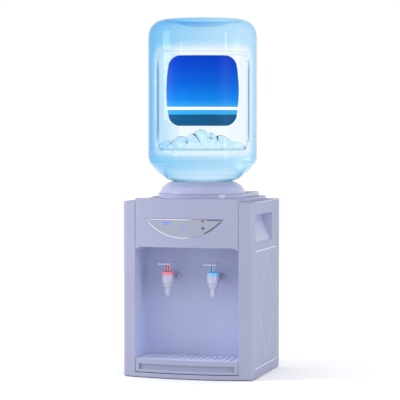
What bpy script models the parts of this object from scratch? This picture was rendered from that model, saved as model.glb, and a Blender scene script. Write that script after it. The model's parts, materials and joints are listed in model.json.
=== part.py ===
"""Countertop water dispenser: cabinet, hot and cold taps, drip tray and an inverted bottle.

Metres, +Z up. The origin is on the surface the feet stand on, under the middle of the object.
The front faces -Y and +X is to the right of someone who faces the taps.
"""
import math

import bmesh
import bpy
from mathutils import Matrix, Vector

# ---------------------------------------------------------------- driving sizes
CABINET_WIDTH = 0.327
CABINET_DEPTH = 0.275        # from the line through the two front corners to the rear edge
CABINET_HEIGHT = 0.429       # top of the pillars and of the flat part of the lid
FRONT_BOW = 0.022            # how far the middle of the front stands out past the corners
FRONT_CORNER_RADIUS = 0.012
WALL = 0.0025                # moulded walls
PANEL = 0.002                # side and back panels
GAP = 0.0003                 # between pieces that touch
SKIRT_LIFT = 0.002           # from the worktop to the lower edge of the skirt

BAY_WIDTH = 0.260            # opening between the pillars
BAY_TOP = 0.319
BAY_DEPTH = 0.095            # from the corner line to the back of the bay
BAY_CORNER_RADIUS = 0.014
PLINTH_TOP = 0.0125
FASCIA_RISE = 0.0085         # the fascia stands above the pillars by this much

WINDOW_HALF_WIDTH = 0.100
WINDOW_TOP = 0.389
WINDOW_DROP = 0.048
WINDOW_X = -0.004
LED_X = 0.045
LED_HEIGHTS = (0.3674, 0.3846)
LED_RADIUS = 0.0025

DECK_HALF_WIDTH = 0.110      # upper tier of the lid
STEP_HALF_WIDTH = 0.128      # lower tier of the lid
DECK_RISE = 0.017            # upper tier above the flat lid
STEP_RISE = 0.007            # lower tier above the flat lid
AXIS_TO_REAR = 0.1375        # bottle axis to the rear edge

BOTTLE_RADIUS = 0.135
BOTTLE_HEIGHT = 0.4885       # mouth to base, standing upside down
LABEL_RECESS = 0.003
NECK_RADIUS = 0.0275
BOTTLE_WALL = 0.0013
COLLAR_RADIUS = 0.107
COLLAR_TOP_RADIUS = 0.076
COLLAR_HEIGHT = 0.029
SEAT_HEIGHT = 0.0868         # bottle mouth to the shoulder that sits on the collar
SLEEVE_ROOM = 0.0135         # bottle mouth to the floor of the feed sleeve
LABEL_LOW, LABEL_HIGH = 0.2305, 0.4035   # above the bottle's mouth
LABEL_TURN = 15.7            # degrees that the label is turned from the front
LABEL_HALF_ANGLE = 42

GRIP_FROM_CORNER = 0.0295    # hand grips in the side panels
GRIP_LENGTH = 0.168
GRIP_LOW, GRIP_HIGH = 0.330, 0.398
GRIP_DEPTH = 0.026
DIAMOND_HALF = (0.090, 0.128)
DIAMOND_Z = 0.169
DIAMOND_BEHIND_AXIS = 0.010
BORDER_LOW, BORDER_HIGH = 0.023, 0.311
BORDER_FRONT_MARGIN, BORDER_REAR_MARGIN = 0.0155, 0.0225
LINE_WIDTH, LINE_DEPTH = 0.003, 0.0008

TAP_SPACING = 0.115
TAP_REACH = 0.0675           # tap axis in front of the back of the bay
TAP_HEIGHT = 0.238           # centre line of the shanks
TAP_RADIUS = 0.0148
SHANK_RADIUS = 0.008
SHANK_REACH = 0.020          # shank behind the back of the bay
LEVER_LENGTH = 0.034
LEVER_WIDTH = 0.031

TRAY_HEIGHT = 0.032
TRAY_CLEARANCE = 0.0008
GRILLE_DEPTH = 0.0035
GRILLE_RIM = 0.003
GROOVE_INSET = 0.009         # finger groove in the front of the tray
GROOVE_ABOVE, GROOVE_BELOW = 0.0064, 0.0122   # from the tray's lower and upper edge
TANK_RADIUS = 0.052
TANK_HEIGHT = 0.175
TANK_FROM_MIDDLE = 0.020     # tank wall to the middle plane
TANK_TO_BACK = 0.0175        # insulation to the back panel
TANK_LIFT = 0.030            # tank above the base plate
PORT_OFFSET = 0.022
INSULATION = 0.013
RESERVOIR_RADIUS = 0.088
RESERVOIR_DEPTH = 0.108
TUBE_RADIUS = 0.004
FAN_SIZE = 0.080
FAN_DEPTH = 0.015
FAN_LIFT = 0.040             # fan centre above the reservoir floor
HUB_RADIUS = 0.0155
GLAND = (0.120, 0.050)
GLAND_RADIUS = 0.007
SWITCH = (-0.120, 0.300)
SWITCH_HALF = (0.00875, 0.0120)
FAR = 0.05                   # how far a cutter runs past what it cuts
FOOT_RADIUS = 0.012

# ---------------------------------------------------------------- places worked out from them
HALF_WIDTH = CABINET_WIDTH / 2
REAR = (CABINET_DEPTH + FRONT_BOW) / 2
CORNER_LINE = REAR - CABINET_DEPTH
FRONT = CORNER_LINE - FRONT_BOW
AXIS_Y = REAR - AXIS_TO_REAR
BOW_RADIUS = (HALF_WIDTH ** 2 + FRONT_BOW ** 2) / (2 * FRONT_BOW)
BOW_CENTRE = FRONT + BOW_RADIUS
SIDE_START = CORNER_LINE + FRONT_CORNER_RADIUS + 0.002
BAY_HALF = BAY_WIDTH / 2
BAY_BACK = CORNER_LINE + BAY_DEPTH
BACK_INSET = 0.004
BACK_OUTER = REAR - BACK_INSET
BACK_INNER = BACK_OUTER - PANEL
LID_UNDER = CABINET_HEIGHT - WALL
DECK_TOP = CABINET_HEIGHT + DECK_RISE
STEP_TOP = CABINET_HEIGHT + STEP_RISE
FASCIA_TOP = CABINET_HEIGHT + FASCIA_RISE
BASE_TOP = PLINTH_TOP - WALL
FLOOR_OF_BASE = BASE_TOP - 0.0015
COLLAR_BASE = DECK_TOP + GAP
COLLAR_TOP = DECK_TOP + COLLAR_HEIGHT
TAP_Y = BAY_BACK - TAP_REACH
TRAY_BOTTOM = PLINTH_TOP + 0.0017
TRAY_TOP = TRAY_BOTTOM + TRAY_HEIGHT
RIM_TOP = DECK_TOP - WALL - 0.0025 - 2 * GAP
MOUTH = COLLAR_TOP + GAP - SEAT_HEIGHT
BOTTLE_TOP = MOUTH + BOTTLE_HEIGHT
SLEEVE_FLOOR = MOUTH - SLEEVE_ROOM
RESERVOIR_FLOOR = RIM_TOP - RESERVOIR_DEPTH
FASCIA_REAR = AXIS_Y - STEP_HALF_WIDTH - 0.0005
FASCIA_HALF = BAY_HALF - GAP
GRIP_FRONT = CORNER_LINE + GRIP_FROM_CORNER
GRIP_REAR = GRIP_FRONT + GRIP_LENGTH
DIAMOND_Y = AXIS_Y + DIAMOND_BEHIND_AXIS
BORDER_FRONT = SIDE_START + BORDER_FRONT_MARGIN
BORDER_REAR = REAR - BORDER_REAR_MARGIN
TANK_X = -(TANK_RADIUS + TANK_FROM_MIDDLE)
TANK_Y = BACK_INNER - TANK_RADIUS - INSULATION - TANK_TO_BACK
TANK_LOW = BASE_TOP + TANK_LIFT
TANK_TOP = TANK_LOW + TANK_HEIGHT
BORE_RADIUS = TUBE_RADIUS + 0.0005
PORT_RADIUS = TUBE_RADIUS + GAP
SHANK_END = BAY_BACK + SHANK_REACH
DRAIN_HEIGHT = BASE_TOP + 0.015
FAN_Z = RESERVOIR_FLOOR + FAN_LIFT
FAN_REAR = BACK_INNER - 0.002
FAN_FRONT = FAN_REAR - FAN_DEPTH
FAN_BORE = FAN_SIZE / 2 - 0.003
TAPS = {"cold": TAP_SPACING / 2, "hot": -TAP_SPACING / 2}
OUTLETS = {"cold": (TAP_SPACING / 2, AXIS_Y + 0.009), "feed": (-0.010, AXIS_Y + 0.049)}
FEED_PORT = (TANK_X + PORT_OFFSET, TANK_Y + PORT_OFFSET)
VENT_PORT = (TANK_X + PORT_OFFSET, TANK_Y - PORT_OFFSET + 0.002)
TRAY_HALF = BAY_HALF - TRAY_CLEARANCE
TRAY_REAR = BAY_BACK - 0.001
GROOVE_LOW, GROOVE_HIGH = TRAY_BOTTOM + GROOVE_ABOVE, TRAY_TOP - GROOVE_BELOW

# ---------------------------------------------------------------- colours
SHELL = (0.44, 0.46, 0.66)
SHELL_DARK = (0.36, 0.38, 0.58)
WATER_BLUE = (0.25, 0.62, 0.90)
LABEL_BLUE = (0.03, 0.16, 0.62)
TAP_WHITE = (0.62, 0.63, 0.76)
COLD_BLUE = (0.10, 0.42, 0.78)
HOT_RED = (0.62, 0.06, 0.08)
WHITE = (0.80, 0.80, 0.80)
BLACK = (0.02, 0.02, 0.02)
STEEL = (0.55, 0.56, 0.58)
RUBBER = (0.04, 0.04, 0.04)
FOAM = (0.10, 0.10, 0.11)
BOARD = (0.02, 0.20, 0.07)
BRASS = (0.60, 0.45, 0.15)

for leftover in list(bpy.data.objects):
    bpy.data.objects.remove(leftover, do_unlink=True)

PARTS = bpy.data.collections.new("countertop_water_dispenser")
CUTTERS = bpy.data.collections.new("cutters")
bpy.context.scene.collection.children.link(PARTS)
bpy.context.scene.collection.children.link(CUTTERS)


# ---------------------------------------------------------------- materials and placing
def material(name, colour, roughness=0.4, metallic=0.0, alpha=1.0):
    made = bpy.data.materials.new(name)
    made.use_nodes = True
    shader = made.node_tree.nodes["Principled BSDF"]
    shader.inputs["Base Color"].default_value = (*colour, 1.0)
    shader.inputs["Roughness"].default_value = roughness
    shader.inputs["Metallic"].default_value = metallic
    shader.inputs["Alpha"].default_value = alpha
    made.diffuse_color = (*colour, alpha)
    return made


def part(thing, colour, roughness=0.4, metallic=0.0, alpha=1.0):
    """Give a finished piece its own material and put it in the parts collection."""
    thing.data.materials.clear()
    thing.data.materials.append(material(thing.name, colour, roughness, metallic, alpha))
    if thing.type == "MESH":
        thing.data.shade_smooth()
        thing.data.set_sharp_from_angle(angle=math.radians(35))
    move_to(thing, PARTS)
    return thing


def move_to(thing, collection):
    for old in list(thing.users_collection):
        old.objects.unlink(thing)
    collection.objects.link(thing)


def hide_cutter(thing):
    thing.hide_render = True
    thing.display_type = "WIRE"
    move_to(thing, CUTTERS)


def apply_scale(thing):
    thing.data.transform(Matrix.Diagonal((*thing.scale, 1.0)))
    thing.scale = (1, 1, 1)


def pivot(name, location):
    """An empty on a joint's axis, for the pieces that turn or slide on it."""
    empty = bpy.data.objects.new(name, None)
    empty.location = location
    empty.empty_display_size = 0.02
    PARTS.objects.link(empty)
    return empty


def hang_on(empty, *pieces):
    bpy.context.view_layer.update()
    for piece in pieces:
        piece.parent = empty
        piece.matrix_parent_inverse = empty.matrix_world.inverted()


# ---------------------------------------------------------------- shapes
def box(name, low, high):
    bpy.ops.mesh.primitive_cube_add(size=1)
    made = bpy.context.active_object
    made.name = name
    made.location = [(a + b) / 2 for a, b in zip(low, high)]
    made.scale = [b - a for a, b in zip(low, high)]
    apply_scale(made)
    return made


def rod(name, start, end, radius, sides=24):
    """A cylinder from one point to another."""
    start, end = Vector(start), Vector(end)
    bpy.ops.mesh.primitive_cylinder_add(vertices=sides, radius=radius, depth=(end - start).length)
    made = bpy.context.active_object
    made.name = name
    made.location = (start + end) / 2
    made.rotation_euler = Vector((0, 0, 1)).rotation_difference(end - start).to_euler()
    return made


def turned(name, profile, centre=(0, 0), steps=32, closed=True):
    """Turn (radius, height) points about a vertical axis. They run down the outer side first."""
    count = len(profile)
    edges = [(i, i + 1) for i in range(count - 1)]
    if closed:
        edges.append((count - 1, 0))
    mesh = bpy.data.meshes.new(name)
    mesh.from_pydata([(radius, 0, height) for radius, height in profile], edges, [])
    made = bpy.data.objects.new(name, mesh)
    made.location = (*centre, 0)
    bpy.context.scene.collection.objects.link(made)
    screw = made.modifiers.new("turn", "SCREW")
    screw.axis = "Z"
    screw.steps = screw.render_steps = steps
    screw.use_merge_vertices = True
    screw.merge_threshold = 0.00001
    return made


def tube_section(outer, inner, low, high):
    return [(outer, high), (outer, low), (inner, low), (inner, high)]


def outline_curve(name, outlines, thickness):
    """A filled flat outline, or one with holes, as a 2D curve."""
    curve = bpy.data.curves.new(name, "CURVE")
    curve.dimensions = "2D"
    curve.fill_mode = "BOTH"
    curve.extrude = thickness / 2
    for points in outlines:
        spline = curve.splines.new("POLY")
        spline.points.add(len(points) - 1)
        for point, (x, y) in zip(spline.points, points):
            point.co = (x, y, 0, 1)
        spline.use_cyclic_u = True
    made = bpy.data.objects.new(name, curve)
    bpy.context.scene.collection.objects.link(made)
    return made


def to_mesh(thing):
    """Turn a curve object into a closed mesh object that takes modifiers."""
    bpy.context.view_layer.update()
    name = thing.name
    evaluated = thing.evaluated_get(bpy.context.evaluated_depsgraph_get())
    mesh = bpy.data.meshes.new_from_object(evaluated)
    welded = bmesh.new()
    welded.from_mesh(mesh)
    bmesh.ops.remove_doubles(welded, verts=welded.verts, dist=0.000001)
    bmesh.ops.recalc_face_normals(welded, faces=welded.faces)
    welded.to_mesh(mesh)
    welded.free()
    matrix = thing.matrix_world.copy()
    bpy.data.objects.remove(thing, do_unlink=True)
    made = bpy.data.objects.new(name, mesh)
    made.matrix_world = matrix
    bpy.context.scene.collection.objects.link(made)
    return made


def slab(name, outline, low, high, holes=()):
    """A plan outline in X and Y, raised from one height to another."""
    made = outline_curve(name, [outline, *holes], high - low)
    made.location.z = (low + high) / 2
    return to_mesh(made)


def slab_y(name, outline, front, rear, holes=()):
    """An outline in X and Z, drawn from a front to a rear plane."""
    made = outline_curve(name, [outline, *holes], rear - front)
    made.rotation_euler = (math.radians(90), 0, 0)
    made.location.y = (front + rear) / 2
    return to_mesh(made)


def slab_x(name, outline, left, right, holes=()):
    """An outline in Y and Z, drawn from a left to a right plane."""
    made = outline_curve(name, [outline, *holes], right - left)
    made.rotation_euler = (math.radians(90), 0, math.radians(90))
    made.location.x = (left + right) / 2
    return to_mesh(made)


def pipe(name, points, radius, resolution=2):
    """A round tube along points that are close enough to look smooth."""
    curve = bpy.data.curves.new(name, "CURVE")
    curve.dimensions = "3D"
    curve.bevel_depth = radius
    curve.bevel_resolution = resolution
    curve.use_fill_caps = True
    spline = curve.splines.new("POLY")
    spline.points.add(len(points) - 1)
    for point, place in zip(spline.points, points):
        point.co = (*place, 1)
    made = bpy.data.objects.new(name, curve)
    bpy.context.scene.collection.objects.link(made)
    return to_mesh(made)


def swept(start, leave, end, arrive, count=10):
    """Points of a smooth run that leaves along one direction and arrives along another."""
    a, d = Vector(start), Vector(end)
    b, c = a + Vector(leave), d - Vector(arrive)
    points = []
    for step in range(count + 1):
        t = step / count
        points.append(a * (1 - t) ** 3 + b * 3 * t * (1 - t) ** 2 + c * 3 * t * t * (1 - t) + d * t ** 3)
    return points


# ---------------------------------------------------------------- joining and cutting
def combine(thing, other, operation):
    hide_cutter(other)
    step = thing.modifiers.new(operation.lower(), "BOOLEAN")
    step.operation = operation
    step.solver = "EXACT"
    step.object = other
    return thing


def cut(thing, *cutters):
    for cutter in cutters:
        combine(thing, cutter, "DIFFERENCE")
    return thing


def add(thing, *others):
    for other in others:
        combine(thing, other, "UNION")
    return thing


def joined(name, pieces):
    """Several loose solids in one mesh, to cut or add in a single step."""
    gathered = bmesh.new()
    for piece in pieces:
        bpy.context.view_layer.update()
        copy = piece.data.copy()
        copy.transform(piece.matrix_world)
        gathered.from_mesh(copy)
        bpy.data.objects.remove(piece, do_unlink=True)
    mesh = bpy.data.meshes.new(name)
    gathered.to_mesh(mesh)
    gathered.free()
    made = bpy.data.objects.new(name, mesh)
    bpy.context.scene.collection.objects.link(made)
    return made


# ---------------------------------------------------------------- outlines
def arc(centre, radius, start, end, count):
    """Points on an arc, angles in degrees, both ends included."""
    return [(centre[0] + radius * math.cos(math.radians(start + (end - start) * i / count)),
             centre[1] + radius * math.sin(math.radians(start + (end - start) * i / count)))
            for i in range(count + 1)]


def bow_y(x, inset=0.0):
    """Y of the bowed front at x, or of a line that lies behind it by the inset."""
    return BOW_CENTRE - math.sqrt((BOW_RADIUS - inset) ** 2 - x * x)


def bow(left, right, inset=0.0, count=12):
    """Points along the bowed front from left to right."""
    return [(left + (right - left) * i / count, bow_y(left + (right - left) * i / count, inset))
            for i in range(count + 1)]


def front_outline(inset=0.0, rear=SIDE_START):
    """Plan of the cabinet front: straight rear edge, rounded corners, bowed face."""
    reach = HALF_WIDTH - FRONT_CORNER_RADIUS
    lean = math.asin(reach / (BOW_RADIUS - FRONT_CORNER_RADIUS))
    centre_y = BOW_CENTRE - (BOW_RADIUS - FRONT_CORNER_RADIUS) * math.cos(lean)
    corner = arc((reach, centre_y), FRONT_CORNER_RADIUS - inset, math.degrees(lean) - 90, 0, 5)
    end = (BOW_RADIUS - inset) * math.sin(lean)
    right = corner + [(HALF_WIDTH - inset, rear)]
    left = [(-x, y) for x, y in reversed(right)]
    return left + bow(-end, end, inset, 16)[1:-1] + right


def horseshoe(half_width, rear, count=24):
    """A half disc in front of the bottle axis with straight sides that run back."""
    return arc((0, AXIS_Y), half_width, 180, 360, count) + [(half_width, rear), (-half_width, rear)]


def rounded_top(half_width, low, high, radius, count=5):
    """A rectangle in X and Z with its two upper corners rounded."""
    right = arc((half_width - radius, high - radius), radius, 0, 90, count)
    left = arc((radius - half_width, high - radius), radius, 90, 180, count)
    return [(-half_width, low), (half_width, low)] + right + left


def window_outline(inset=0.0):
    """A chord with a circular arc below it, in X and Z."""
    radius = (WINDOW_HALF_WIDTH ** 2 + WINDOW_DROP ** 2) / (2 * WINDOW_DROP)
    centre_z = WINDOW_TOP - WINDOW_DROP + radius
    top = WINDOW_TOP - inset
    radius -= inset
    reach = math.degrees(math.acos((centre_z - top) / radius))
    return arc((WINDOW_X, centre_z), radius, 270 - reach, 270 + reach, 18)


# ---------------------------------------------------------------- cabinet
def make_front_frame():
    """Two pillars and the plinth between them, moulded in one piece."""
    frame = slab("front_frame", front_outline(), SKIRT_LIFT, CABINET_HEIGHT)
    inside = slab("front_inside", front_outline(WALL, SIDE_START + FAR), -FAR, LID_UNDER)
    opening = box("front_opening", (-BAY_HALF, FRONT - FAR, PLINTH_TOP),
                  (BAY_HALF, SIDE_START + FAR, CABINET_HEIGHT + FAR))
    return part(cut(frame, inside, opening), SHELL)


def make_control_panel():
    """The bowed fascia: a box that is open below, with a smile-shaped hole in its face."""
    low = BAY_TOP - BAY_CORNER_RADIUS
    face = bow(-FASCIA_HALF, FASCIA_HALF) + [(FASCIA_HALF, FASCIA_REAR), (-FASCIA_HALF, FASCIA_REAR)]
    panel = slab("control_panel", face, low, FASCIA_TOP)
    inner_half = FASCIA_HALF - WALL
    hollow = bow(-inner_half, inner_half, WALL) + [(inner_half, FASCIA_REAR - WALL),
                                                  (-inner_half, FASCIA_REAR - WALL)]
    behind = bow(-FASCIA_HALF - 0.01, FASCIA_HALF + 0.01, WALL) + [(BAY_WIDTH, 0), (-BAY_WIDTH, 0)]
    return part(cut(panel,
                    slab("fascia_hollow", hollow, low - FAR, FASCIA_TOP - WALL),
                    slab("fascia_foot", behind, low - FAR, BAY_TOP + WALL + GAP),
                    slab_y("fascia_arch", rounded_top(BAY_HALF + 0.001, low - FAR, BAY_TOP,
                                                      BAY_CORNER_RADIUS), FRONT - FAR, FASCIA_REAR + FAR),
                    slab_y("window_hole", window_outline(), FRONT - FAR, CORNER_LINE + 0.001)), SHELL)


def make_control_window():
    low, high = WINDOW_TOP - WINDOW_DROP - 0.01, WINDOW_TOP + 0.01
    reach = WINDOW_HALF_WIDTH + 0.012
    strip = bow(-reach, reach, 0.0005) + list(reversed(bow(-reach, reach, 0.0023)))
    window = slab("control_window", strip, low, high)
    combine(window, slab_y("window_shape", window_outline(GAP), FRONT - FAR, CORNER_LINE), "INTERSECT")
    for number, height in enumerate(LED_HEIGHTS):
        cut(window, rod(f"led_hole_{number}", (LED_X, FRONT - FAR, height),
                        (LED_X, CORNER_LINE, height), LED_RADIUS + GAP, 12))
    return part(window, (0.50, 0.52, 0.68), 0.15)


def make_led_board():
    front = FRONT + 0.0135
    part(box("led_board", (LED_X - 0.025, front, LED_HEIGHTS[0] - 0.012),
             (LED_X + 0.025, front + 0.0016, LED_HEIGHTS[1] + 0.008)), BOARD, 0.5)
    for name, height, colour in (("led_power", LED_HEIGHTS[1], HOT_RED),
                                 ("led_heating", LED_HEIGHTS[0], (0.05, 0.45, 0.12))):
        part(rod(name, (LED_X, bow_y(LED_X, 0.0002), height), (LED_X, front - GAP, height),
                 LED_RADIUS, 12), colour, 0.2)


def make_niche_liner():
    """The dispensing bay: an open box behind the pillars, with rounded upper corners."""
    half = BAY_HALF + WALL
    plan = bow(-half, half, WALL + GAP) + [(half, BAY_BACK + WALL), (-half, BAY_BACK + WALL)]
    liner = slab("niche_liner", plan, BASE_TOP + GAP, BAY_TOP + WALL)
    cut(liner, slab_y("bay_hollow", rounded_top(BAY_HALF, PLINTH_TOP, BAY_TOP, BAY_CORNER_RADIUS),
                      FRONT - FAR, BAY_BACK))
    for name, x in TAPS.items():
        cut(liner, rod(f"{name}_shank_hole", (x, BAY_BACK - 0.01, TAP_HEIGHT),
                       (x, BAY_BACK + 0.01, TAP_HEIGHT), SHANK_RADIUS + GAP, 20))
    return part(liner, SHELL_DARK)


def grip_outline(side, grow, outside):
    """The scooped hand grip in X and Z: deepest behind its upper lip."""
    face, deep = HALF_WIDTH + outside, HALF_WIDTH - GRIP_DEPTH - grow
    points = [(face, GRIP_LOW - grow), (face, GRIP_HIGH + grow), (deep, GRIP_HIGH + grow),
              (deep, GRIP_HIGH - 0.018 - grow), (HALF_WIDTH - 0.004 - grow, GRIP_LOW - grow)]
    return [(side * x, z) for x, z in points]


def diamond(shrink):
    across, up = DIAMOND_HALF[0] - shrink, DIAMOND_HALF[1] - shrink * 1.4
    return [(DIAMOND_Y - across, DIAMOND_Z), (DIAMOND_Y, DIAMOND_Z - up),
            (DIAMOND_Y + across, DIAMOND_Z), (DIAMOND_Y, DIAMOND_Z + up)]


def border(shrink):
    front, rear = BORDER_FRONT + shrink, BORDER_REAR - shrink
    low, high = BORDER_LOW + shrink, BORDER_HIGH - shrink
    return [(front, low), (rear, low), (rear, high), (front, high)]


def make_side_panel(name, side):
    low, high = SKIRT_LIFT, LID_UNDER - GAP
    sheet = [(SIDE_START + GAP, low), (REAR, low), (REAR, high), (SIDE_START + GAP, high)]
    inner, outer = sorted((side * (HALF_WIDTH - PANEL), side * HALF_WIDTH))
    panel = slab_x(name, sheet, inner, outer)
    add(panel, slab_y(f"{name}_grip_shell", grip_outline(side, PANEL, -PANEL / 2),
                      GRIP_FRONT - PANEL, GRIP_REAR + PANEL))
    cut(panel, slab_y(f"{name}_grip", grip_outline(side, 0, FAR), GRIP_FRONT, GRIP_REAR))
    cut_from, cut_to = sorted((side * (HALF_WIDTH - LINE_DEPTH), side * (HALF_WIDTH + FAR)))
    cut(panel, slab_x(f"{name}_diamond", diamond(0), cut_from, cut_to, [diamond(LINE_WIDTH)]),
        slab_x(f"{name}_border", border(0), cut_from, cut_to, [border(LINE_WIDTH)]))
    return part(panel, SHELL)


def make_back_panel():
    half, low, high = HALF_WIDTH - PANEL - GAP, SKIRT_LIFT, LID_UNDER - GAP
    panel = slab_y("back_panel", [(-half, low), (half, low), (half, high), (-half, high)],
                   BACK_INNER, BACK_OUTER)
    front, rear = BACK_INNER - 0.01, BACK_OUTER + 0.01
    slots = []
    for row in range(8):
        z = FAN_Z + (row - 3.5) * 0.009
        slots.append(box("slot", (-0.034, front, z - 0.0022), (0.034, rear, z + 0.0022)))
    for column in range(10):
        x = -0.0675 + column * 0.015
        slots.append(box("slot", (x - 0.0025, front, 0.075), (x + 0.0025, rear, 0.125)))
    cut(panel, joined("back_slots", slots))
    across, up = SWITCH_HALF[0] + GAP, SWITCH_HALF[1] + GAP
    cut(panel, box("switch_hole", (SWITCH[0] - across, front, SWITCH[1] - up),
                   (SWITCH[0] + across, rear, SWITCH[1] + up)))
    cut(panel, rod("gland_hole", (GLAND[0], front, GLAND[1]), (GLAND[0], rear, GLAND[1]),
                   GLAND_RADIUS + GAP, 16))
    cut(panel, rod("drain_hole", (TANK_X, front, DRAIN_HEIGHT), (TANK_X, rear, DRAIN_HEIGHT),
                   TUBE_RADIUS + 2 * GAP, 12))
    return part(panel, SHELL_DARK, 0.5)


def make_top_cover():
    """The lid: a flat sheet that rises in two horseshoe tiers under the bottle."""
    middle_front, side_front = FASCIA_REAR + GAP, SIDE_START + GAP
    front = min(middle_front, side_front)
    cover = box("top_cover", (-HALF_WIDTH, front, LID_UNDER), (HALF_WIDTH, REAR, CABINET_HEIGHT))
    step_rear, deck_rear = REAR - GAP, REAR - 3 * GAP
    add(cover, slab("step_tier", horseshoe(STEP_HALF_WIDTH, step_rear), LID_UNDER + 0.001, STEP_TOP),
        slab("deck_tier", horseshoe(DECK_HALF_WIDTH, deck_rear), LID_UNDER + 0.002, DECK_TOP))
    cut(cover,
        slab("step_inside", horseshoe(STEP_HALF_WIDTH - WALL, step_rear - WALL), LID_UNDER - FAR,
             STEP_TOP - WALL),
        slab("deck_inside", horseshoe(DECK_HALF_WIDTH - WALL, deck_rear - WALL), LID_UNDER - 1.1 * FAR,
             DECK_TOP - WALL),
        rod("neck_hole", (0, AXIS_Y, LID_UNDER - 0.01), (0, AXIS_Y, DECK_TOP + FAR),
            NECK_RADIUS + 0.0245, 32))
    notches = [(-BAY_HALF, BAY_HALF, middle_front)]
    if middle_front < side_front:
        notches = [(-HALF_WIDTH - FAR, -FASCIA_HALF, side_front),
                   (FASCIA_HALF, HALF_WIDTH + FAR, side_front)]
    for left, right, rear in notches:
        cut(cover, box("lid_notch", (left, front - FAR, LID_UNDER - FAR), (right, rear, DECK_TOP + FAR)))
    return part(cover, SHELL)


def make_base():
    half = HALF_WIDTH - PANEL - 0.0008
    part(box("base_plate", (-half, SIDE_START + GAP, FLOOR_OF_BASE),
             (half, BACK_INNER - GAP, BASE_TOP)), STEEL, 0.45, 0.9)
    places = [(x, y) for y in (CORNER_LINE + 0.0315, REAR - 0.0235) for x in (-0.130, 0.130)]
    for number, (x, y) in enumerate(places, 1):
        foot = turned(f"foot_{number}", [(FOOT_RADIUS, FLOOR_OF_BASE - GAP),
                                         (FOOT_RADIUS - 0.002, 0), (0.003, 0),
                                         (0.003, FLOOR_OF_BASE - GAP)], (x, y), 12)
        part(foot, RUBBER, 0.8)


# ---------------------------------------------------------------- bottle and what it stands in
def make_collar():
    """Ring on the deck whose funnel and sleeve hang round the bottle's neck."""
    rim = COLLAR_TOP_RADIUS
    sleeve = NECK_RADIUS + 0.0065
    elbow = MOUTH + 0.049
    spread = COLLAR_RADIUS - rim
    profile = [(rim, COLLAR_TOP), (rim + 0.30 * spread, COLLAR_TOP - 0.0028),
               (rim + 0.58 * spread, COLLAR_TOP - 0.0085), (rim + 0.76 * spread, COLLAR_TOP - 0.013),
               (rim + 0.83 * spread, COLLAR_TOP - 0.017), (COLLAR_RADIUS, COLLAR_BASE),
               (COLLAR_RADIUS - WALL, COLLAR_BASE), (rim + 0.76 * spread, COLLAR_TOP - 0.019),
               (rim + 0.50 * spread, COLLAR_TOP - 0.0115), (rim - 0.002, COLLAR_TOP - 0.0045),
               (sleeve + 0.002, elbow), (sleeve + 0.002, SLEEVE_FLOOR - 0.002),
               (0.0050, SLEEVE_FLOOR - 0.002), (0.0050, SLEEVE_FLOOR), (sleeve, SLEEVE_FLOOR),
               (sleeve, elbow + 0.0008), (rim - 0.0045, COLLAR_TOP)]
    return part(turned("bottle_collar", profile, (0, AXIS_Y), 28), SHELL)


def make_feed_probe():
    low, high = SLEEVE_FLOOR + GAP, MOUTH + 0.0365
    profile = [(0.0060, high), (0.0070, high - 0.004), (0.0070, low + 0.0022), (0.0110, low + 0.0022),
               (0.0110, low), (0.0045, low), (0.0045, high)]
    return part(turned("feed_probe", profile, (0, AXIS_Y), 12), WHITE, 0.35)


def offset_profile(points, distance):
    """The same profile moved inwards by a wall thickness, point by point along its normals."""
    moved = []
    for i, (radius, height) in enumerate(points):
        before = points[max(i - 1, 0)]
        after = points[min(i + 1, len(points) - 1)]
        along = Vector((after[0] - before[0], after[1] - before[1])).normalized()
        moved.append((max(radius + along.y * distance, 0.0), height - along.x * distance))
    return moved


def bottle_profile():
    """Outer side of the bottle, base uppermost, from the middle of the base to the mouth."""
    r = BOTTLE_RADIUS
    rounded = arc((r - 0.035, BOTTLE_TOP - 0.0375), 0.035, 85, 0, 6)
    recess_low, recess_high = MOUTH + 0.165, BOTTLE_TOP - 0.053
    label_zone = [(r, recess_high), (r - LABEL_RECESS, recess_high - 0.003),
                  (r - LABEL_RECESS, recess_low + 0.003), (r, recess_low)]
    shoulder = [(r, MOUTH + 0.1385), (r - 0.0305, MOUTH + 0.100), (r - 0.038, MOUTH + 0.0945),
                (r - 0.047, MOUTH + 0.0905), (COLLAR_TOP_RADIUS, SEAT_HEIGHT + MOUTH + 0.0008),
                (COLLAR_TOP_RADIUS - 0.007, SEAT_HEIGHT + MOUTH)]
    neck = [(NECK_RADIUS + 0.001, MOUTH + 0.0515), (NECK_RADIUS, MOUTH + 0.0485), (NECK_RADIUS, MOUTH)]
    return [(0, BOTTLE_TOP), (r * 0.4, BOTTLE_TOP - 0.0006)] + rounded + label_zone + shoulder + neck


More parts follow.
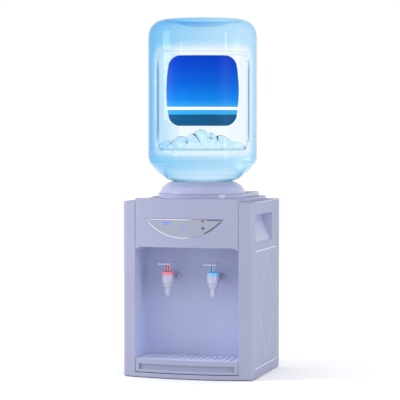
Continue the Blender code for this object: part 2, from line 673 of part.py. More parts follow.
def make_bottle():
    outer = bottle_profile()
    inner = list(reversed(offset_profile(outer, BOTTLE_WALL)))
    inner[0] = (NECK_RADIUS - BOTTLE_WALL - 0.0007, MOUTH)
    inner[-1] = (0, BOTTLE_TOP - BOTTLE_WALL)
    shell = turned("bottle_shell", outer + inner, (0, AXIS_Y), 28, closed=False)
    part(shell, WATER_BLUE, 0.08, 0.0, 0.45)
    radius, middle = BOTTLE_RADIUS - LABEL_RECESS + GAP, LABEL_TURN - 90
    left, right = middle - LABEL_HALF_ANGLE, middle + LABEL_HALF_ANGLE
    strip = arc((0, AXIS_Y), radius + 0.0004, left, right, 20)
    strip += arc((0, AXIS_Y), radius, right, left, 20)
    label = slab("bottle_label", strip, MOUTH + LABEL_LOW, MOUTH + LABEL_HIGH)
    part(label, LABEL_BLUE, 0.35)
    cap_radius = NECK_RADIUS + 0.0025
    profile = [(cap_radius, MOUTH + 0.024), (cap_radius, MOUTH - 0.001),
               (cap_radius - 0.001, MOUTH - 0.002), (0.0085, MOUTH - 0.002),
               (0.0085, MOUTH - GAP), (NECK_RADIUS + GAP, MOUTH - GAP),
               (NECK_RADIUS + GAP, MOUTH + 0.024)]
    cap = part(turned("bottle_cap", profile, (0, AXIS_Y), 28), WATER_BLUE, 0.4)
    hang_on(pivot("bottle_lift_off", (0, AXIS_Y, MOUTH)), shell, label, cap)


# ---------------------------------------------------------------- water system inside the case
def make_reservoir():
    r, wall, floor = RESERVOIR_RADIUS, 0.002, RESERVOIR_FLOOR
    profile = [(0, floor + wall), (r - 0.007, floor + wall), (r - wall, floor + 0.007),
               (r - wall, RIM_TOP), (r + 0.004, RIM_TOP), (r + 0.004, RIM_TOP - 0.003), (r, RIM_TOP - 0.003),
               (r, floor + 0.006), (r - 0.006, floor), (0, floor)]
    tank = turned("reservoir", profile, (0, AXIS_Y), 24, closed=False)
    ports = [*OUTLETS.values(), VENT_PORT]
    holes = [rod("port", (x, y, floor - 0.01), (x, y, floor + 0.01), PORT_RADIUS, 12) for x, y in ports]
    part(cut(tank, joined("reservoir_ports", holes)), WHITE, 0.4)
    seal = tube_section(r + 0.0035, r - 0.004, RIM_TOP + GAP, DECK_TOP - WALL - GAP)
    part(turned("reservoir_seal", seal, (0, AXIS_Y), 24), RUBBER, 0.7)


def make_hot_tank():
    r, low, top, wall = TANK_RADIUS, TANK_LOW, TANK_TOP, 0.001
    profile = [(r - 0.006, top), (r, top - 0.006), (r, low + 0.006), (r - 0.006, low), (PORT_RADIUS, low),
               (PORT_RADIUS, low + wall), (r - 0.007, low + wall), (r - wall, low + 0.007),
               (r - wall, top - 0.007), (r - 0.007, top - wall), (PORT_RADIUS, top - wall),
               (PORT_RADIUS, top)]
    tank = turned("hot_tank", profile, (TANK_X, TANK_Y), 20)
    holes = [rod("port", (x, y, top - 0.004), (x, y, top + 0.01), PORT_RADIUS, 12)
             for x, y in (FEED_PORT, VENT_PORT)]
    part(cut(tank, joined("tank_ports", holes)), STEEL, 0.3, 0.9)
    band = tube_section(r + 0.0026, r + GAP, low + 0.030, low + 0.090)
    part(turned("heater_band", band, (TANK_X, TANK_Y), 20), BRASS, 0.4, 0.8)
    jacket = tube_section(r + 0.003 + INSULATION, r + 0.003, low + 0.004, top - 0.004)
    part(turned("tank_insulation", jacket, (TANK_X, TANK_Y), 20), FOAM, 0.9)
    stand = turned("tank_stand", tube_section(r - 0.006, r - 0.0085, BASE_TOP + GAP, low - GAP),
                   (TANK_X, TANK_Y), 20)
    notch = TUBE_RADIUS + 0.0025
    cut(stand, box("stand_notch", (TANK_X - notch, TANK_Y, DRAIN_HEIGHT - notch),
                   (TANK_X + notch, TANK_Y + r, DRAIN_HEIGHT + notch)))
    part(stand, STEEL, 0.5, 0.9)
    for name, dx, dy in (("thermostat", -0.028, 0.012), ("thermal_cutout", -0.010, -0.030)):
        x, y = TANK_X + dx, TANK_Y + dy
        disc = rod(name, (x, y, top + GAP), (x, y, top + 0.008), 0.008, 20)
        add(disc, box(f"{name}_tabs", (x - 0.006, y - 0.0012, top + 0.005),
                      (x + 0.006, y + 0.0012, top + 0.013)))
        part(disc, BLACK, 0.5)


def make_plumbing():
    into = 0.003
    floor, top = RESERVOIR_FLOOR + into + GAP, TANK_TOP - into
    hot, cold = TAPS["hot"], TAPS["cold"]
    cold_end, hot_end = (cold, SHANK_END - into, TAP_HEIGHT), (hot, SHANK_END - into, TAP_HEIGHT)
    cold_drop = (Vector(cold_end) - Vector((*OUTLETS["cold"], floor))).length / 2
    hot_start = (TANK_X, TANK_Y, TANK_TOP + TUBE_RADIUS)
    hot_rise = (Vector(hot_end) - Vector(hot_start)).length / 2
    runs = {
        "cold_tube": swept((*OUTLETS["cold"], floor), (0, 0, -cold_drop), cold_end, (0, -0.03, 0)),
        "hot_tube": [Vector((TANK_X, TANK_Y, top))]
        + swept(hot_start, (0, 0, hot_rise), hot_end, (0, -0.04, 0)),
        "tank_feed_tube": swept((*OUTLETS["feed"], floor), (0, 0, -0.05),
                                (*FEED_PORT, top), (0, 0, -0.05)),
        "vent_tube": [(*VENT_PORT, top), (*VENT_PORT, (top + RIM_TOP) / 2), (*VENT_PORT, RIM_TOP - 0.02)],
        "drain_pipe": swept((TANK_X, TANK_Y, TANK_LOW + into), (0, 0, -0.018),
                            (TANK_X, TANK_Y + 0.03, DRAIN_HEIGHT), (0, 0.018, 0), 6)
        + [Vector((TANK_X, BACK_OUTER + 0.0020, DRAIN_HEIGHT))],
    }
    for name, points in runs.items():
        part(pipe(name, points, TUBE_RADIUS), WHITE, 0.35)
    reach, ring, bore, height = 0.0024, 0.009, TUBE_RADIUS + 2 * GAP, 0.0036
    profile = [(0, height), (ring, height), (ring, GAP), (bore, GAP), (bore, reach), (0, reach)]
    cap = turned("drain_cap", profile, (0, 0), 14, closed=False)
    cap.rotation_euler = (math.radians(-90), 0, 0)
    cap.location = (TANK_X, BACK_OUTER, DRAIN_HEIGHT)
    part(cap, WHITE, 0.4)


def make_cooler():
    """Cold block on the reservoir, thermoelectric tile, finned heat sink and fan, in a row."""
    y = AXIS_Y + RESERVOIR_RADIUS + GAP
    for name, half, depth, colour, metal in (("cold_block", 0.022, 0.010, STEEL, 0.9),
                                            ("peltier_module", 0.020, 0.0036, WHITE, 0.0)):
        part(box(name, (-half, y, FAN_Z - half), (half, y + depth, FAN_Z + half)), colour, 0.4, metal)
        y += depth + GAP
    half = FAN_SIZE / 2
    sink = box("heat_sink", (-half, y, FAN_Z - half), (half, FAN_FRONT - GAP, FAN_Z + half))
    slots = []
    for fin in range(11):
        x = (fin - 5) * 0.0068
        slots.append(box("fin_gap", (x - 0.0026, y + 0.0025, FAN_Z - half - 0.01),
                         (x + 0.0026, FAN_FRONT + 0.01, FAN_Z + half + 0.01)))
    part(cut(sink, joined("fin_gaps", slots)), STEEL, 0.35, 0.9)
    corner = 0.006
    square = []
    for sx, sz, start in ((1, 1, 0), (-1, 1, 90), (-1, -1, 180), (1, -1, 270)):
        square += arc((sx * (half - corner), FAN_Z + sz * (half - corner)), corner, start, start + 90, 2)
    frame = slab_y("fan_frame", square, FAN_FRONT, FAN_REAR)
    cut(frame, rod("fan_bore", (0, FAN_FRONT - 0.01, FAN_Z), (0, FAN_REAR + 0.01, FAN_Z), FAN_BORE, 32))
    reach, bar, back = FAN_BORE + 0.001, 0.002, 0.0022
    add(frame, box("fan_bar_1", (-reach, FAN_REAR - back, FAN_Z - bar),
                   (reach, FAN_REAR - 0.0002, FAN_Z + bar)),
        box("fan_bar_2", (-bar, FAN_REAR - back, FAN_Z - reach), (bar, FAN_REAR - 0.0002, FAN_Z + reach)),
        rod("fan_motor_seat", (0, FAN_REAR - back, FAN_Z), (0, FAN_REAR - 0.0004, FAN_Z), HUB_RADIUS, 24))
    part(frame, BLACK, 0.5)
    front, rear = FAN_FRONT + 0.0015, FAN_REAR - back - 0.0012
    rotor = rod("fan_rotor", (0, front, FAN_Z), (0, rear, FAN_Z), HUB_RADIUS, 24)
    blades = []
    for number in range(7):
        blade = box("blade", (HUB_RADIUS - 0.002, -0.0006, -0.0065), (FAN_BORE - 0.0025, 0.0006, 0.0065))
        pitch = Matrix.Rotation(math.radians(38), 4, "X")
        around = Matrix.Rotation(math.radians(360 / 7 * number), 4, "Y")
        blade.data.transform(Matrix.Translation(blade.location))
        blade.location = (0, 0, 0)
        blade.data.transform(Matrix.Translation((0, (front + rear) / 2, FAN_Z)) @ around @ pitch)
        blades.append(blade)
    add(rotor, joined("fan_blades", blades))
    part(rotor, BLACK, 0.4)


# ---------------------------------------------------------------- electrics
def make_electrics():
    y, (gx, gz) = BACK_OUTER, GLAND
    flange, bore = GLAND_RADIUS + 0.0035, 0.0032
    profile = [(flange, 0.0034), (flange, GAP), (GLAND_RADIUS, GAP), (GLAND_RADIUS, -PANEL - GAP),
               (flange, -PANEL - GAP), (flange, -PANEL - 0.0038), (GLAND_RADIUS, -PANEL - 0.0038),
               (GLAND_RADIUS, -PANEL - 0.007), (bore, -PANEL - 0.007), (bore, 0.0034)]
    gland = turned("cord_gland", profile, (0, 0), 12)
    gland.rotation_euler = (math.radians(-90), 0, 0)
    gland.location = (gx, y, gz)
    part(gland, BLACK, 0.5)

    sx, sz = SWITCH
    across, up = SWITCH_HALF
    housing = box("switch_housing", (sx - across, y - 0.014, sz - up), (sx + across, y + 0.001, sz + up))
    add(housing, box("switch_flange", (sx - across - 0.0017, y + GAP, sz - up - 0.0017),
                     (sx + across + 0.0017, y + 0.0018, sz + up + 0.0017)))
    cut(housing, box("switch_well", (sx - across + 0.0018, y - 0.0115, sz - up + 0.0018),
                     (sx + across - 0.0018, y + 0.01, sz + up - 0.0018)))
    part(housing, BLACK, 0.4)
    half, axis_y, tilt = up - 0.0029, y - 0.004, math.radians(-8)
    shape = [(-0.0040, -0.0060), (0.0043, -half), (0.0030, 0), (0.0043, half), (-0.0040, 0.0060)]
    turned_shape = [(axis_y + a * math.cos(tilt) - b * math.sin(tilt),
                     sz + a * math.sin(tilt) + b * math.cos(tilt)) for a, b in shape]
    rocker = slab_x("heater_switch", turned_shape, sx - across + 0.0022, sx + across - 0.0022)
    part(rocker, HOT_RED, 0.3)
    hang_on(pivot("switch_pivot", (sx, axis_y, sz)), rocker)

    clear = 0.0020               # a bent lead ends this far from its terminal
    rear = y - 0.014 - clear
    turn = (0.110, BACK_INNER - 0.022, 0.240)
    lead = swept((gx, y - PANEL - 0.007 - clear, gz), (0, -0.03, 0), turn, (0, 0, 0.06), 8)
    lead += swept(turn, (0, 0, 0.05), (sx + 0.004, rear, sz), (0, 0.03, 0), 10)[1:]
    part(pipe("power_lead", lead, 0.0025), BLACK, 0.6)
    top = TANK_TOP + 0.013 + clear
    lead = swept((sx - 0.004, rear, sz - 0.008), (0, -0.03, 0), (TANK_X - 0.028, TANK_Y + 0.012, top),
                 (0, 0, -0.03), 10)
    part(pipe("heater_lead", lead, 0.0016), HOT_RED, 0.6)


# ---------------------------------------------------------------- taps
def make_tap(name, x, colour):
    """One push-lever tap: pressing the lever lifts the plunger off its seat."""
    body_low, body_top = TAP_HEIGHT - 0.010, TAP_HEIGHT + 0.011
    spout_low, seat = TAP_HEIGHT - 0.039, TAP_HEIGHT - 0.014
    chamber = TAP_RADIUS - 0.0033
    profile = [(TAP_RADIUS, body_top), (TAP_RADIUS, body_low), (TAP_RADIUS - 0.0035, body_low - 0.0018),
               (TAP_RADIUS - 0.0035, body_low - 0.0085), (0.0070, body_low - 0.0100), (0.0070, spout_low),
               (BORE_RADIUS, spout_low), (BORE_RADIUS, seat), (chamber, seat), (chamber, body_top)]
    body = turned(f"{name}_tap_body", profile, (x, TAP_Y), 16)
    shank_start = TAP_Y + chamber + 0.0015
    add(body, rod(f"{name}_shank", (x, shank_start, TAP_HEIGHT), (x, SHANK_END, TAP_HEIGHT),
                  SHANK_RADIUS, 16),
        rod(f"{name}_collar", (x, BAY_BACK - 0.0035, TAP_HEIGHT), (x, BAY_BACK - GAP, TAP_HEIGHT),
            SHANK_RADIUS + 0.0045, 16))
    cut(body, rod(f"{name}_shank_bore", (x, TAP_Y + chamber - 0.003, TAP_HEIGHT),
                  (x, SHANK_END + 0.01, TAP_HEIGHT), BORE_RADIUS, 12))
    part(body, TAP_WHITE, 0.25)

    nut = rod(f"{name}_tap_nut", (x, BAY_BACK + WALL + GAP, TAP_HEIGHT),
              (x, BAY_BACK + WALL + 0.006, TAP_HEIGHT), SHANK_RADIUS + 0.0055, 6)
    cut(nut, rod(f"{name}_nut_bore", (x, BAY_BACK, TAP_HEIGHT), (x, SHANK_END, TAP_HEIGHT),
                 SHANK_RADIUS + GAP, 20))
    part(nut, WHITE, 0.4)

    cap_low, cap_top, stem_bore = body_top + GAP, body_top + 0.0088, 0.0034
    profile = [(TAP_RADIUS - 0.001, cap_top), (TAP_RADIUS + 0.0005, cap_top - 0.0015),
               (TAP_RADIUS + 0.0005, cap_low), (chamber, cap_low), (chamber, cap_top - 0.002),
               (stem_bore, cap_top - 0.002), (stem_bore, cap_top)]
    part(turned(f"{name}_tap_cap", profile, (x, TAP_Y), 16), colour, 0.25)

    pin_z, head_low, head_top = TAP_HEIGHT + 0.030, cap_top + 0.001, TAP_HEIGHT + 0.036
    disc_top = seat + 0.0045
    profile = [(0, head_top), (0.0042, head_top), (0.0042, head_low), (0.0030, head_low),
               (0.0030, disc_top), (0.0075, disc_top), (0.0075, seat + GAP), (0, seat + GAP)]
    stem = turned(f"{name}_tap_stem", profile, (x, TAP_Y), 12, closed=False)
    cut(stem, rod(f"{name}_pin_hole", (x - 0.01, TAP_Y, pin_z), (x + 0.01, TAP_Y, pin_z), 0.0018, 12))
    part(stem, colour, 0.3)

    turns, per_turn, wire = 5, 9, 0.0005
    low, high, radius = disc_top + wire + GAP, cap_top - 0.002 - wire - GAP, 0.0055
    coil = []
    for i in range(turns * per_turn + 1):
        angle = 2 * math.pi * i / per_turn
        coil.append((x + radius * math.cos(angle), TAP_Y + radius * math.sin(angle),
                     low + (high - low) * i / (turns * per_turn)))
    spring = part(pipe(f"{name}_tap_spring", coil, wire, 0), STEEL, 0.3, 0.9)

    arm, plate_low = 0.0048, TAP_HEIGHT + 0.0385
    lever = box(f"{name}_tap_lever", (x - LEVER_WIDTH / 2, TAP_Y - LEVER_LENGTH, plate_low),
                (x + LEVER_WIDTH / 2, TAP_Y + 0.010, plate_low + 0.003))
    for side in (-1, 1):
        inner, outer = sorted((x + side * arm, x + side * (arm + 0.0025)))
        add(lever, box(f"{name}_arm_{side}", (inner, TAP_Y - 0.005, cap_top + 0.0008),
                       (outer, TAP_Y + 0.005, plate_low + 0.001)))
    add(lever, rod(f"{name}_pin", (x - arm - 0.001, TAP_Y, pin_z), (x + arm + 0.001, TAP_Y, pin_z),
                   0.0013, 12))
    part(lever, TAP_WHITE, 0.25)
    hang_on(pivot(f"{name}_lever_axis", (x, TAP_Y, pin_z)), lever, stem, spring)


# ---------------------------------------------------------------- drip tray
def tray_plan(side_inset, front_inset, rear_inset):
    half, rear = TRAY_HALF - side_inset, TRAY_REAR - rear_inset
    return bow(-half, half, front_inset) + [(half, rear), (-half, rear)]


def make_tray():
    tray = slab("drip_tray", tray_plan(0, GAP, 0), TRAY_BOTTOM, TRAY_TOP)
    grip = TRAY_HALF - GROOVE_INSET
    groove = bow(-grip, grip, 0.006) + [(grip, FRONT - 0.02), (-grip, FRONT - 0.02)]
    cut(tray, slab("tray_seat", tray_plan(GRILLE_RIM, 0.006, GRILLE_RIM), TRAY_TOP - GRILLE_DEPTH,
                   TRAY_TOP + FAR),
        slab("tray_basin", tray_plan(0.008, 0.012, 0.008), TRAY_BOTTOM + WALL, TRAY_TOP + FAR),
        slab("tray_groove", groove, GROOVE_LOW, GROOVE_HIGH))
    part(tray, SHELL)
    rim = GRILLE_RIM + GAP
    grille = slab("drip_grille", tray_plan(rim, 0.006 + GAP, rim), TRAY_TOP - GRILLE_DEPTH + GAP,
                  TRAY_TOP - 0.0002)
    slots = []
    for number in range(15):
        x = (number - 7) * 0.015
        slots.append(box("slot", (x - 0.002, CORNER_LINE + 0.006, TRAY_TOP - 0.02),
                         (x + 0.002, TRAY_REAR - 0.014, TRAY_TOP + 0.02)))
    grille = part(cut(grille, joined("grille_slots", slots)), SHELL_DARK)
    hang_on(pivot("tray_slide", (0, TRAY_REAR, TRAY_BOTTOM)), bpy.data.objects["drip_tray"], grille)


def main():
    make_front_frame()
    make_control_panel()
    make_control_window()
    make_led_board()
    make_niche_liner()
    for name, side in (("side_panel_left", -1), ("side_panel_right", 1)):
        make_side_panel(name, side)
    make_back_panel()
    make_top_cover()
    make_base()
    make_collar()
    make_feed_probe()
    make_bottle()
    make_reservoir()
    make_hot_tank()
    make_plumbing()
    make_cooler()
    make_electrics()
    make_tap("cold", TAPS["cold"], COLD_BLUE)
    make_tap("hot", TAPS["hot"], HOT_RED)
    make_tray()


main()
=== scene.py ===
"""Looks of the countertop water dispenser: studio, camera, finishes and fine shapes."""
import json
import math

import bmesh
import bpy
from mathutils import Matrix, Vector

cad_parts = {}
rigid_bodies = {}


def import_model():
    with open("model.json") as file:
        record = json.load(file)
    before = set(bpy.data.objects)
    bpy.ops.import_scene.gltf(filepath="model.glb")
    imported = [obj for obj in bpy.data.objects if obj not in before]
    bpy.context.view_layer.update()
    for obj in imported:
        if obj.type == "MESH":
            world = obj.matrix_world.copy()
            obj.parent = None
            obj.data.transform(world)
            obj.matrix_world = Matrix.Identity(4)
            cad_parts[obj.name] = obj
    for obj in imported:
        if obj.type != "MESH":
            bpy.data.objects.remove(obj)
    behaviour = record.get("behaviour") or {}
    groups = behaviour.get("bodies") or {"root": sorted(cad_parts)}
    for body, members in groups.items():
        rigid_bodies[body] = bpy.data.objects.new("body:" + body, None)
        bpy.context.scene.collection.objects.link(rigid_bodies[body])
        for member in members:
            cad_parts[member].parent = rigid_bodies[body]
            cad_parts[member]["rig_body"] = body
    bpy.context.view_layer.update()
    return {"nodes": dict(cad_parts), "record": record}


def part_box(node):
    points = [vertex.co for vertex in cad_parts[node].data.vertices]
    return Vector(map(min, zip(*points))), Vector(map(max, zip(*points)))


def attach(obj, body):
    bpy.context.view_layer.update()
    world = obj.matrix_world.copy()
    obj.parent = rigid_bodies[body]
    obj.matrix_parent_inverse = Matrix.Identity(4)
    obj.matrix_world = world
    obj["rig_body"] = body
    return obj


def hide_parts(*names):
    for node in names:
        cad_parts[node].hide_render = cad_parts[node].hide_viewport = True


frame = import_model()
NODES = frame["nodes"]

# ---------------------------------------------------------------- places taken from the CAD nodes
shell_low, shell_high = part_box("bottle_shell")
AXIS = Vector(((shell_low.x + shell_high.x) / 2, (shell_low.y + shell_high.y) / 2, 0))
BOTTLE_R = (shell_high.x - shell_low.x) / 2
BOTTLE_TOP = shell_high.z
MOUTH = shell_low.z

# ---------------------------------------------------------------- camera
VIEW_TURN = math.radians(15.7)
VIEW_DISTANCE = 4.36
VIEW_HEIGHT = 0.621
VIEW_PITCH = math.radians(2.53)
VIEW_LENS = 157.6
VIEW_YAW = math.radians(0.0851)          # turned left of the bottle's axis, which stands right of the middle
SENSOR = 36.0

# ---------------------------------------------------------------- colours, linear
SHELL = (0.296, 0.311, 0.452)
# BAY is paler than the shell: painted light that lifts the shade inside the bay.
BAY = (0.410, 0.445, 0.655)
WHITE = (0.80, 0.81, 0.83)


def make_camera():
    """The photograph's view, from the right of the front and a little above the middle."""
    camera = bpy.data.objects.new("camera", bpy.data.cameras.new("camera"))
    bpy.context.scene.collection.objects.link(camera)
    camera.data.sensor_width = SENSOR
    camera.data.lens = VIEW_LENS
    camera.data.clip_end = 60
    camera.location = (VIEW_DISTANCE * math.sin(VIEW_TURN) + AXIS.x,
                       AXIS.y - VIEW_DISTANCE * math.cos(VIEW_TURN), VIEW_HEIGHT)
    camera.rotation_euler = (math.radians(90) - VIEW_PITCH, 0, VIEW_TURN + VIEW_YAW)
    bpy.context.scene.camera = camera


# ---------------------------------------------------------------- studio
FLOOR_REACH = 30
BACKGROUND_STRENGTH = 1.015


def area_light(name, location, aim, size, power):
    lamp = bpy.data.lights.new(name, "AREA")
    lamp.shape = "RECTANGLE"
    lamp.size, lamp.size_y = size
    lamp.energy = power
    holder = bpy.data.objects.new(name, lamp)
    bpy.context.scene.collection.objects.link(holder)
    holder.location = location
    holder.rotation_euler = (Vector(aim) - Vector(location)).to_track_quat("-Z", "Y").to_euler()
    return holder


def make_studio():
    bpy.context.scene.view_settings.view_transform = "Standard"
    mesh = bpy.data.meshes.new("floor")
    reach = FLOOR_REACH
    mesh.from_pydata([(-reach, -reach, 0), (reach, -reach, 0), (reach, reach, 0), (-reach, reach, 0)],
                     [], [(0, 1, 2, 3)])
    floor = bpy.data.objects.new("floor", mesh)
    bpy.context.scene.collection.objects.link(floor)
    pale = bpy.data.materials.new("floor")
    pale.use_nodes = True
    shader = pale.node_tree.nodes["Principled BSDF"]
    shader.inputs["Base Color"].default_value = (0.99, 0.99, 0.99, 1)
    shader.inputs["Roughness"].default_value = 0.9
    shader.inputs["Specular IOR Level"].default_value = 0.0
    mesh.materials.append(pale)
    world = bpy.data.worlds.new("studio")
    bpy.context.scene.world = world
    world.use_nodes = True
    background = world.node_tree.nodes["Background"]
    background.inputs["Color"].default_value = (1, 1, 1, 1)
    background.inputs["Strength"].default_value = BACKGROUND_STRENGTH
    lights = [
        area_light("key", (-2.9, -1.3, 1.3), (0, 0, 0.35), (1.2, 1.4), 50),
        area_light("side", (2.54, -1.18, 0.75), (0, 0, 0.25), (0.25, 1.7), 17),
    ]


# ---------------------------------------------------------------- finishes
class Nodes:
    """A material's node tree, with short ways to add and join nodes."""

    def __init__(self, name):
        self.material = bpy.data.materials.new(name)
        self.material.use_nodes = True
        self.tree = self.material.node_tree
        self.shader = self.tree.nodes["Principled BSDF"]
        self.output = self.tree.nodes["Material Output"]

    def add(self, kind, **values):
        node = self.tree.nodes.new("ShaderNode" + kind)
        for key, value in values.items():
            setattr(node, key, value)
        return node

    def join(self, source, target):
        self.tree.links.new(source, target)

    def place(self, scale=(1, 1, 1)):
        """Object coordinates, stretched by scale."""
        where = self.add("TexCoord")
        stretch = self.add("Mapping")
        stretch.inputs["Scale"].default_value = scale
        self.join(where.outputs["Object"], stretch.inputs["Vector"])
        return stretch.outputs["Vector"]

    def noise(self, where, scale, detail=3.0, rough=0.55):
        made = self.add("TexNoise")
        made.inputs["Scale"].default_value = scale
        made.inputs["Detail"].default_value = detail
        made.inputs["Roughness"].default_value = rough
        self.join(where, made.inputs["Vector"])
        return made.outputs["Fac"]

    def ramp(self, factor, *stops):
        made = self.add("ValToRGB")
        elements = made.color_ramp.elements
        while len(elements) > 1:
            elements.remove(elements[-1])
        for number, (at, colour) in enumerate(stops):
            stop = elements[0] if number == 0 else elements.new(at)
            stop.position = at
            stop.color = (*colour, 1)
        self.join(factor, made.inputs["Fac"])
        return made.outputs["Color"]

    def span(self, factor, low, high):
        made = self.add("MapRange")
        made.inputs["To Min"].default_value = low
        made.inputs["To Max"].default_value = high
        self.join(factor, made.inputs["Value"])
        return made.outputs["Result"]

    def mixed(self, factor, under, over):
        """Colour over laid on colour under by a factor. Either may be a plain colour."""
        made = self.add("Mix", data_type="RGBA")
        self.join(factor, made.inputs["Factor"])
        for socket, value in ((made.inputs[6], under), (made.inputs[7], over)):
            if isinstance(value, tuple):
                socket.default_value = (*value, 1)
            else:
                self.join(value, socket)
        return made.outputs[2]

    def bump(self, height, strength, distance):
        made = self.add("Bump")
        made.inputs["Strength"].default_value = strength
        made.inputs["Distance"].default_value = distance
        self.join(height, made.inputs["Height"])
        self.join(made.outputs["Normal"], self.shader.inputs["Normal"])

    def set(self, **values):
        for key, value in values.items():
            self.shader.inputs[key.replace("_", " ")].default_value = value


def shade(colour, by):
    return tuple(min(c * by, 1.0) for c in colour)


# Heights between which a wall pales towards the floor: painted light low in the bay.
PAINTED_LIGHT_START, PAINTED_LIGHT_END = 0.24, 0.04         # heights between which a wall pales towards the floor


def plastic(name, colour, rough=0.38, tone=0.03, grain=900, relief=0.10, coat=0.0, gleam=0.5,
            foot=None):
    """Moulded plastic: slow drifts of tone, a fine spark grain and an uneven sheen. foot is how much paler it
    grows towards the floor: painted light."""
    n = Nodes(name)
    where = n.place()
    broad = n.noise(where, 6, 4)
    fine = n.noise(where, grain, 2)
    body = n.ramp(broad, (0.3, shade(colour, 1 - tone)), (0.7, shade(colour, 1 + tone)))
    # foot mixes in a paler colour towards the floor: painted light.
    if foot:
        split = n.add("SeparateXYZ")
        n.join(where, split.inputs["Vector"])
        height = n.add("MapRange")
        height.inputs["From Min"].default_value = PAINTED_LIGHT_START
        height.inputs["From Max"].default_value = PAINTED_LIGHT_END
        n.join(split.outputs["Z"], height.inputs["Value"])
        body = n.mixed(height.outputs["Result"], body, shade(colour, foot))
    n.join(body, n.shader.inputs["Base Color"])
    n.join(n.span(n.noise(where, 26, 5, 0.7), rough - 0.07, rough + 0.07), n.shader.inputs["Roughness"])
    n.bump(fine, relief, 0.0002)
    n.set(Coat_Weight=coat, Coat_Roughness=0.1, Specular_IOR_Level=gleam)
    return n.material


def metal(name, colour, rough=0.3, stretch=(1, 1, 40), grain=60):
    """Sheet or drawn metal with a brushed grain along one direction and darker stains."""
    n = Nodes(name)
    lines = n.noise(n.place(stretch), grain, 5, 0.7)
    stains = n.noise(n.place(), 22, 4)
    n.join(n.ramp(stains, (0.25, shade(colour, 0.80)), (0.6, colour), (0.85, shade(colour, 1.1))),
           n.shader.inputs["Base Color"])
    n.join(n.span(lines, rough - 0.08, rough + 0.14), n.shader.inputs["Roughness"])
    n.bump(lines, 0.12, 0.0003)
    n.set(Metallic=1.0)
    return n.material


def foam(name, colour, cell=420, relief=0.6, rough=0.9):
    n = Nodes(name)
    where = n.place()
    cells = n.add("TexVoronoi")
    cells.inputs["Scale"].default_value = cell
    n.join(where, cells.inputs["Vector"])
    n.join(n.ramp(cells.outputs["Distance"], (0.1, shade(colour, 0.6)), (0.6, shade(colour, 1.3))),
           n.shader.inputs["Base Color"])
    n.join(n.span(n.noise(where, 40), rough - 0.05, rough + 0.05), n.shader.inputs["Roughness"])
    n.bump(cells.outputs["Distance"], relief, 0.0006)
    return n.material


def circuit_board(name):
    n = Nodes(name)
    where = n.place()
    tracks = n.add("TexBrick")
    tracks.inputs["Scale"].default_value = 260
    tracks.inputs["Color1"].default_value = (0.01, 0.16, 0.05, 1)
    tracks.inputs["Color2"].default_value = (0.02, 0.22, 0.08, 1)
    tracks.inputs["Mortar"].default_value = (0.10, 0.42, 0.18, 1)
    n.join(where, tracks.inputs["Vector"])
    n.join(tracks.outputs["Color"], n.shader.inputs["Base Color"])
    n.join(n.span(n.noise(where, 90), 0.3, 0.5), n.shader.inputs["Roughness"])
    n.bump(tracks.outputs["Fac"], 0.4, 0.0001)
    return n.material


def clear_wall(name):
    """Tinted clear plastic. The colour gathers where the wall is seen edge on, and where a point attribute
    marks the wall as thick; on the bottle's left side the same attribute also carries painted shade."""
    n = Nodes(name)
    where = n.place()
    thick = n.add("Attribute", attribute_name="thickness_and_shade").outputs["Fac"]
    facing = n.add("LayerWeight")
    facing.inputs["Blend"].default_value = 0.42
    thin = n.ramp(facing.outputs["Facing"], (0.0, (0.965, 0.985, 1.0)), (0.45, (0.93, 0.97, 1.0)),
                  (0.80, (0.45, 0.76, 0.95)), (1.0, (0.10, 0.42, 0.70)))
    full = n.ramp(facing.outputs["Facing"], (0.0, (0.52, 0.78, 0.95)), (0.40, (0.44, 0.74, 0.95)),
                  (0.72, (0.18, 0.56, 0.90)), (1.0, (0.10, 0.40, 0.74)))
    line = n.add("Attribute", attribute_name="panel_line").outputs["Fac"]
    n.join(n.mixed(line, n.mixed(thick, thin, full), (0.06, 0.30, 0.52)),
           n.shader.inputs["Base Color"])
    n.join(n.span(n.noise(where, 30, 4), 0.0, 0.04), n.shader.inputs["Roughness"])
    n.bump(n.noise(where, 38, 2), 0.10, 0.0006)
    n.set(IOR=1.16, Transmission_Weight=1.0)
    return n.material


def water(name):
    n = Nodes(name)
    where = n.place()
    n.join(n.ramp(n.noise(where, 20, 3), (0.3, (0.84, 0.945, 0.99)), (0.7, (0.91, 0.975, 1.0))),
           n.shader.inputs["Base Color"])
    n.join(n.span(n.noise(where, 30), 0.0, 0.02), n.shader.inputs["Roughness"])
    n.bump(n.noise(where, 55, 2), 0.05, 0.0008)
    n.set(IOR=1.10, Transmission_Weight=1.0)
    return n.material


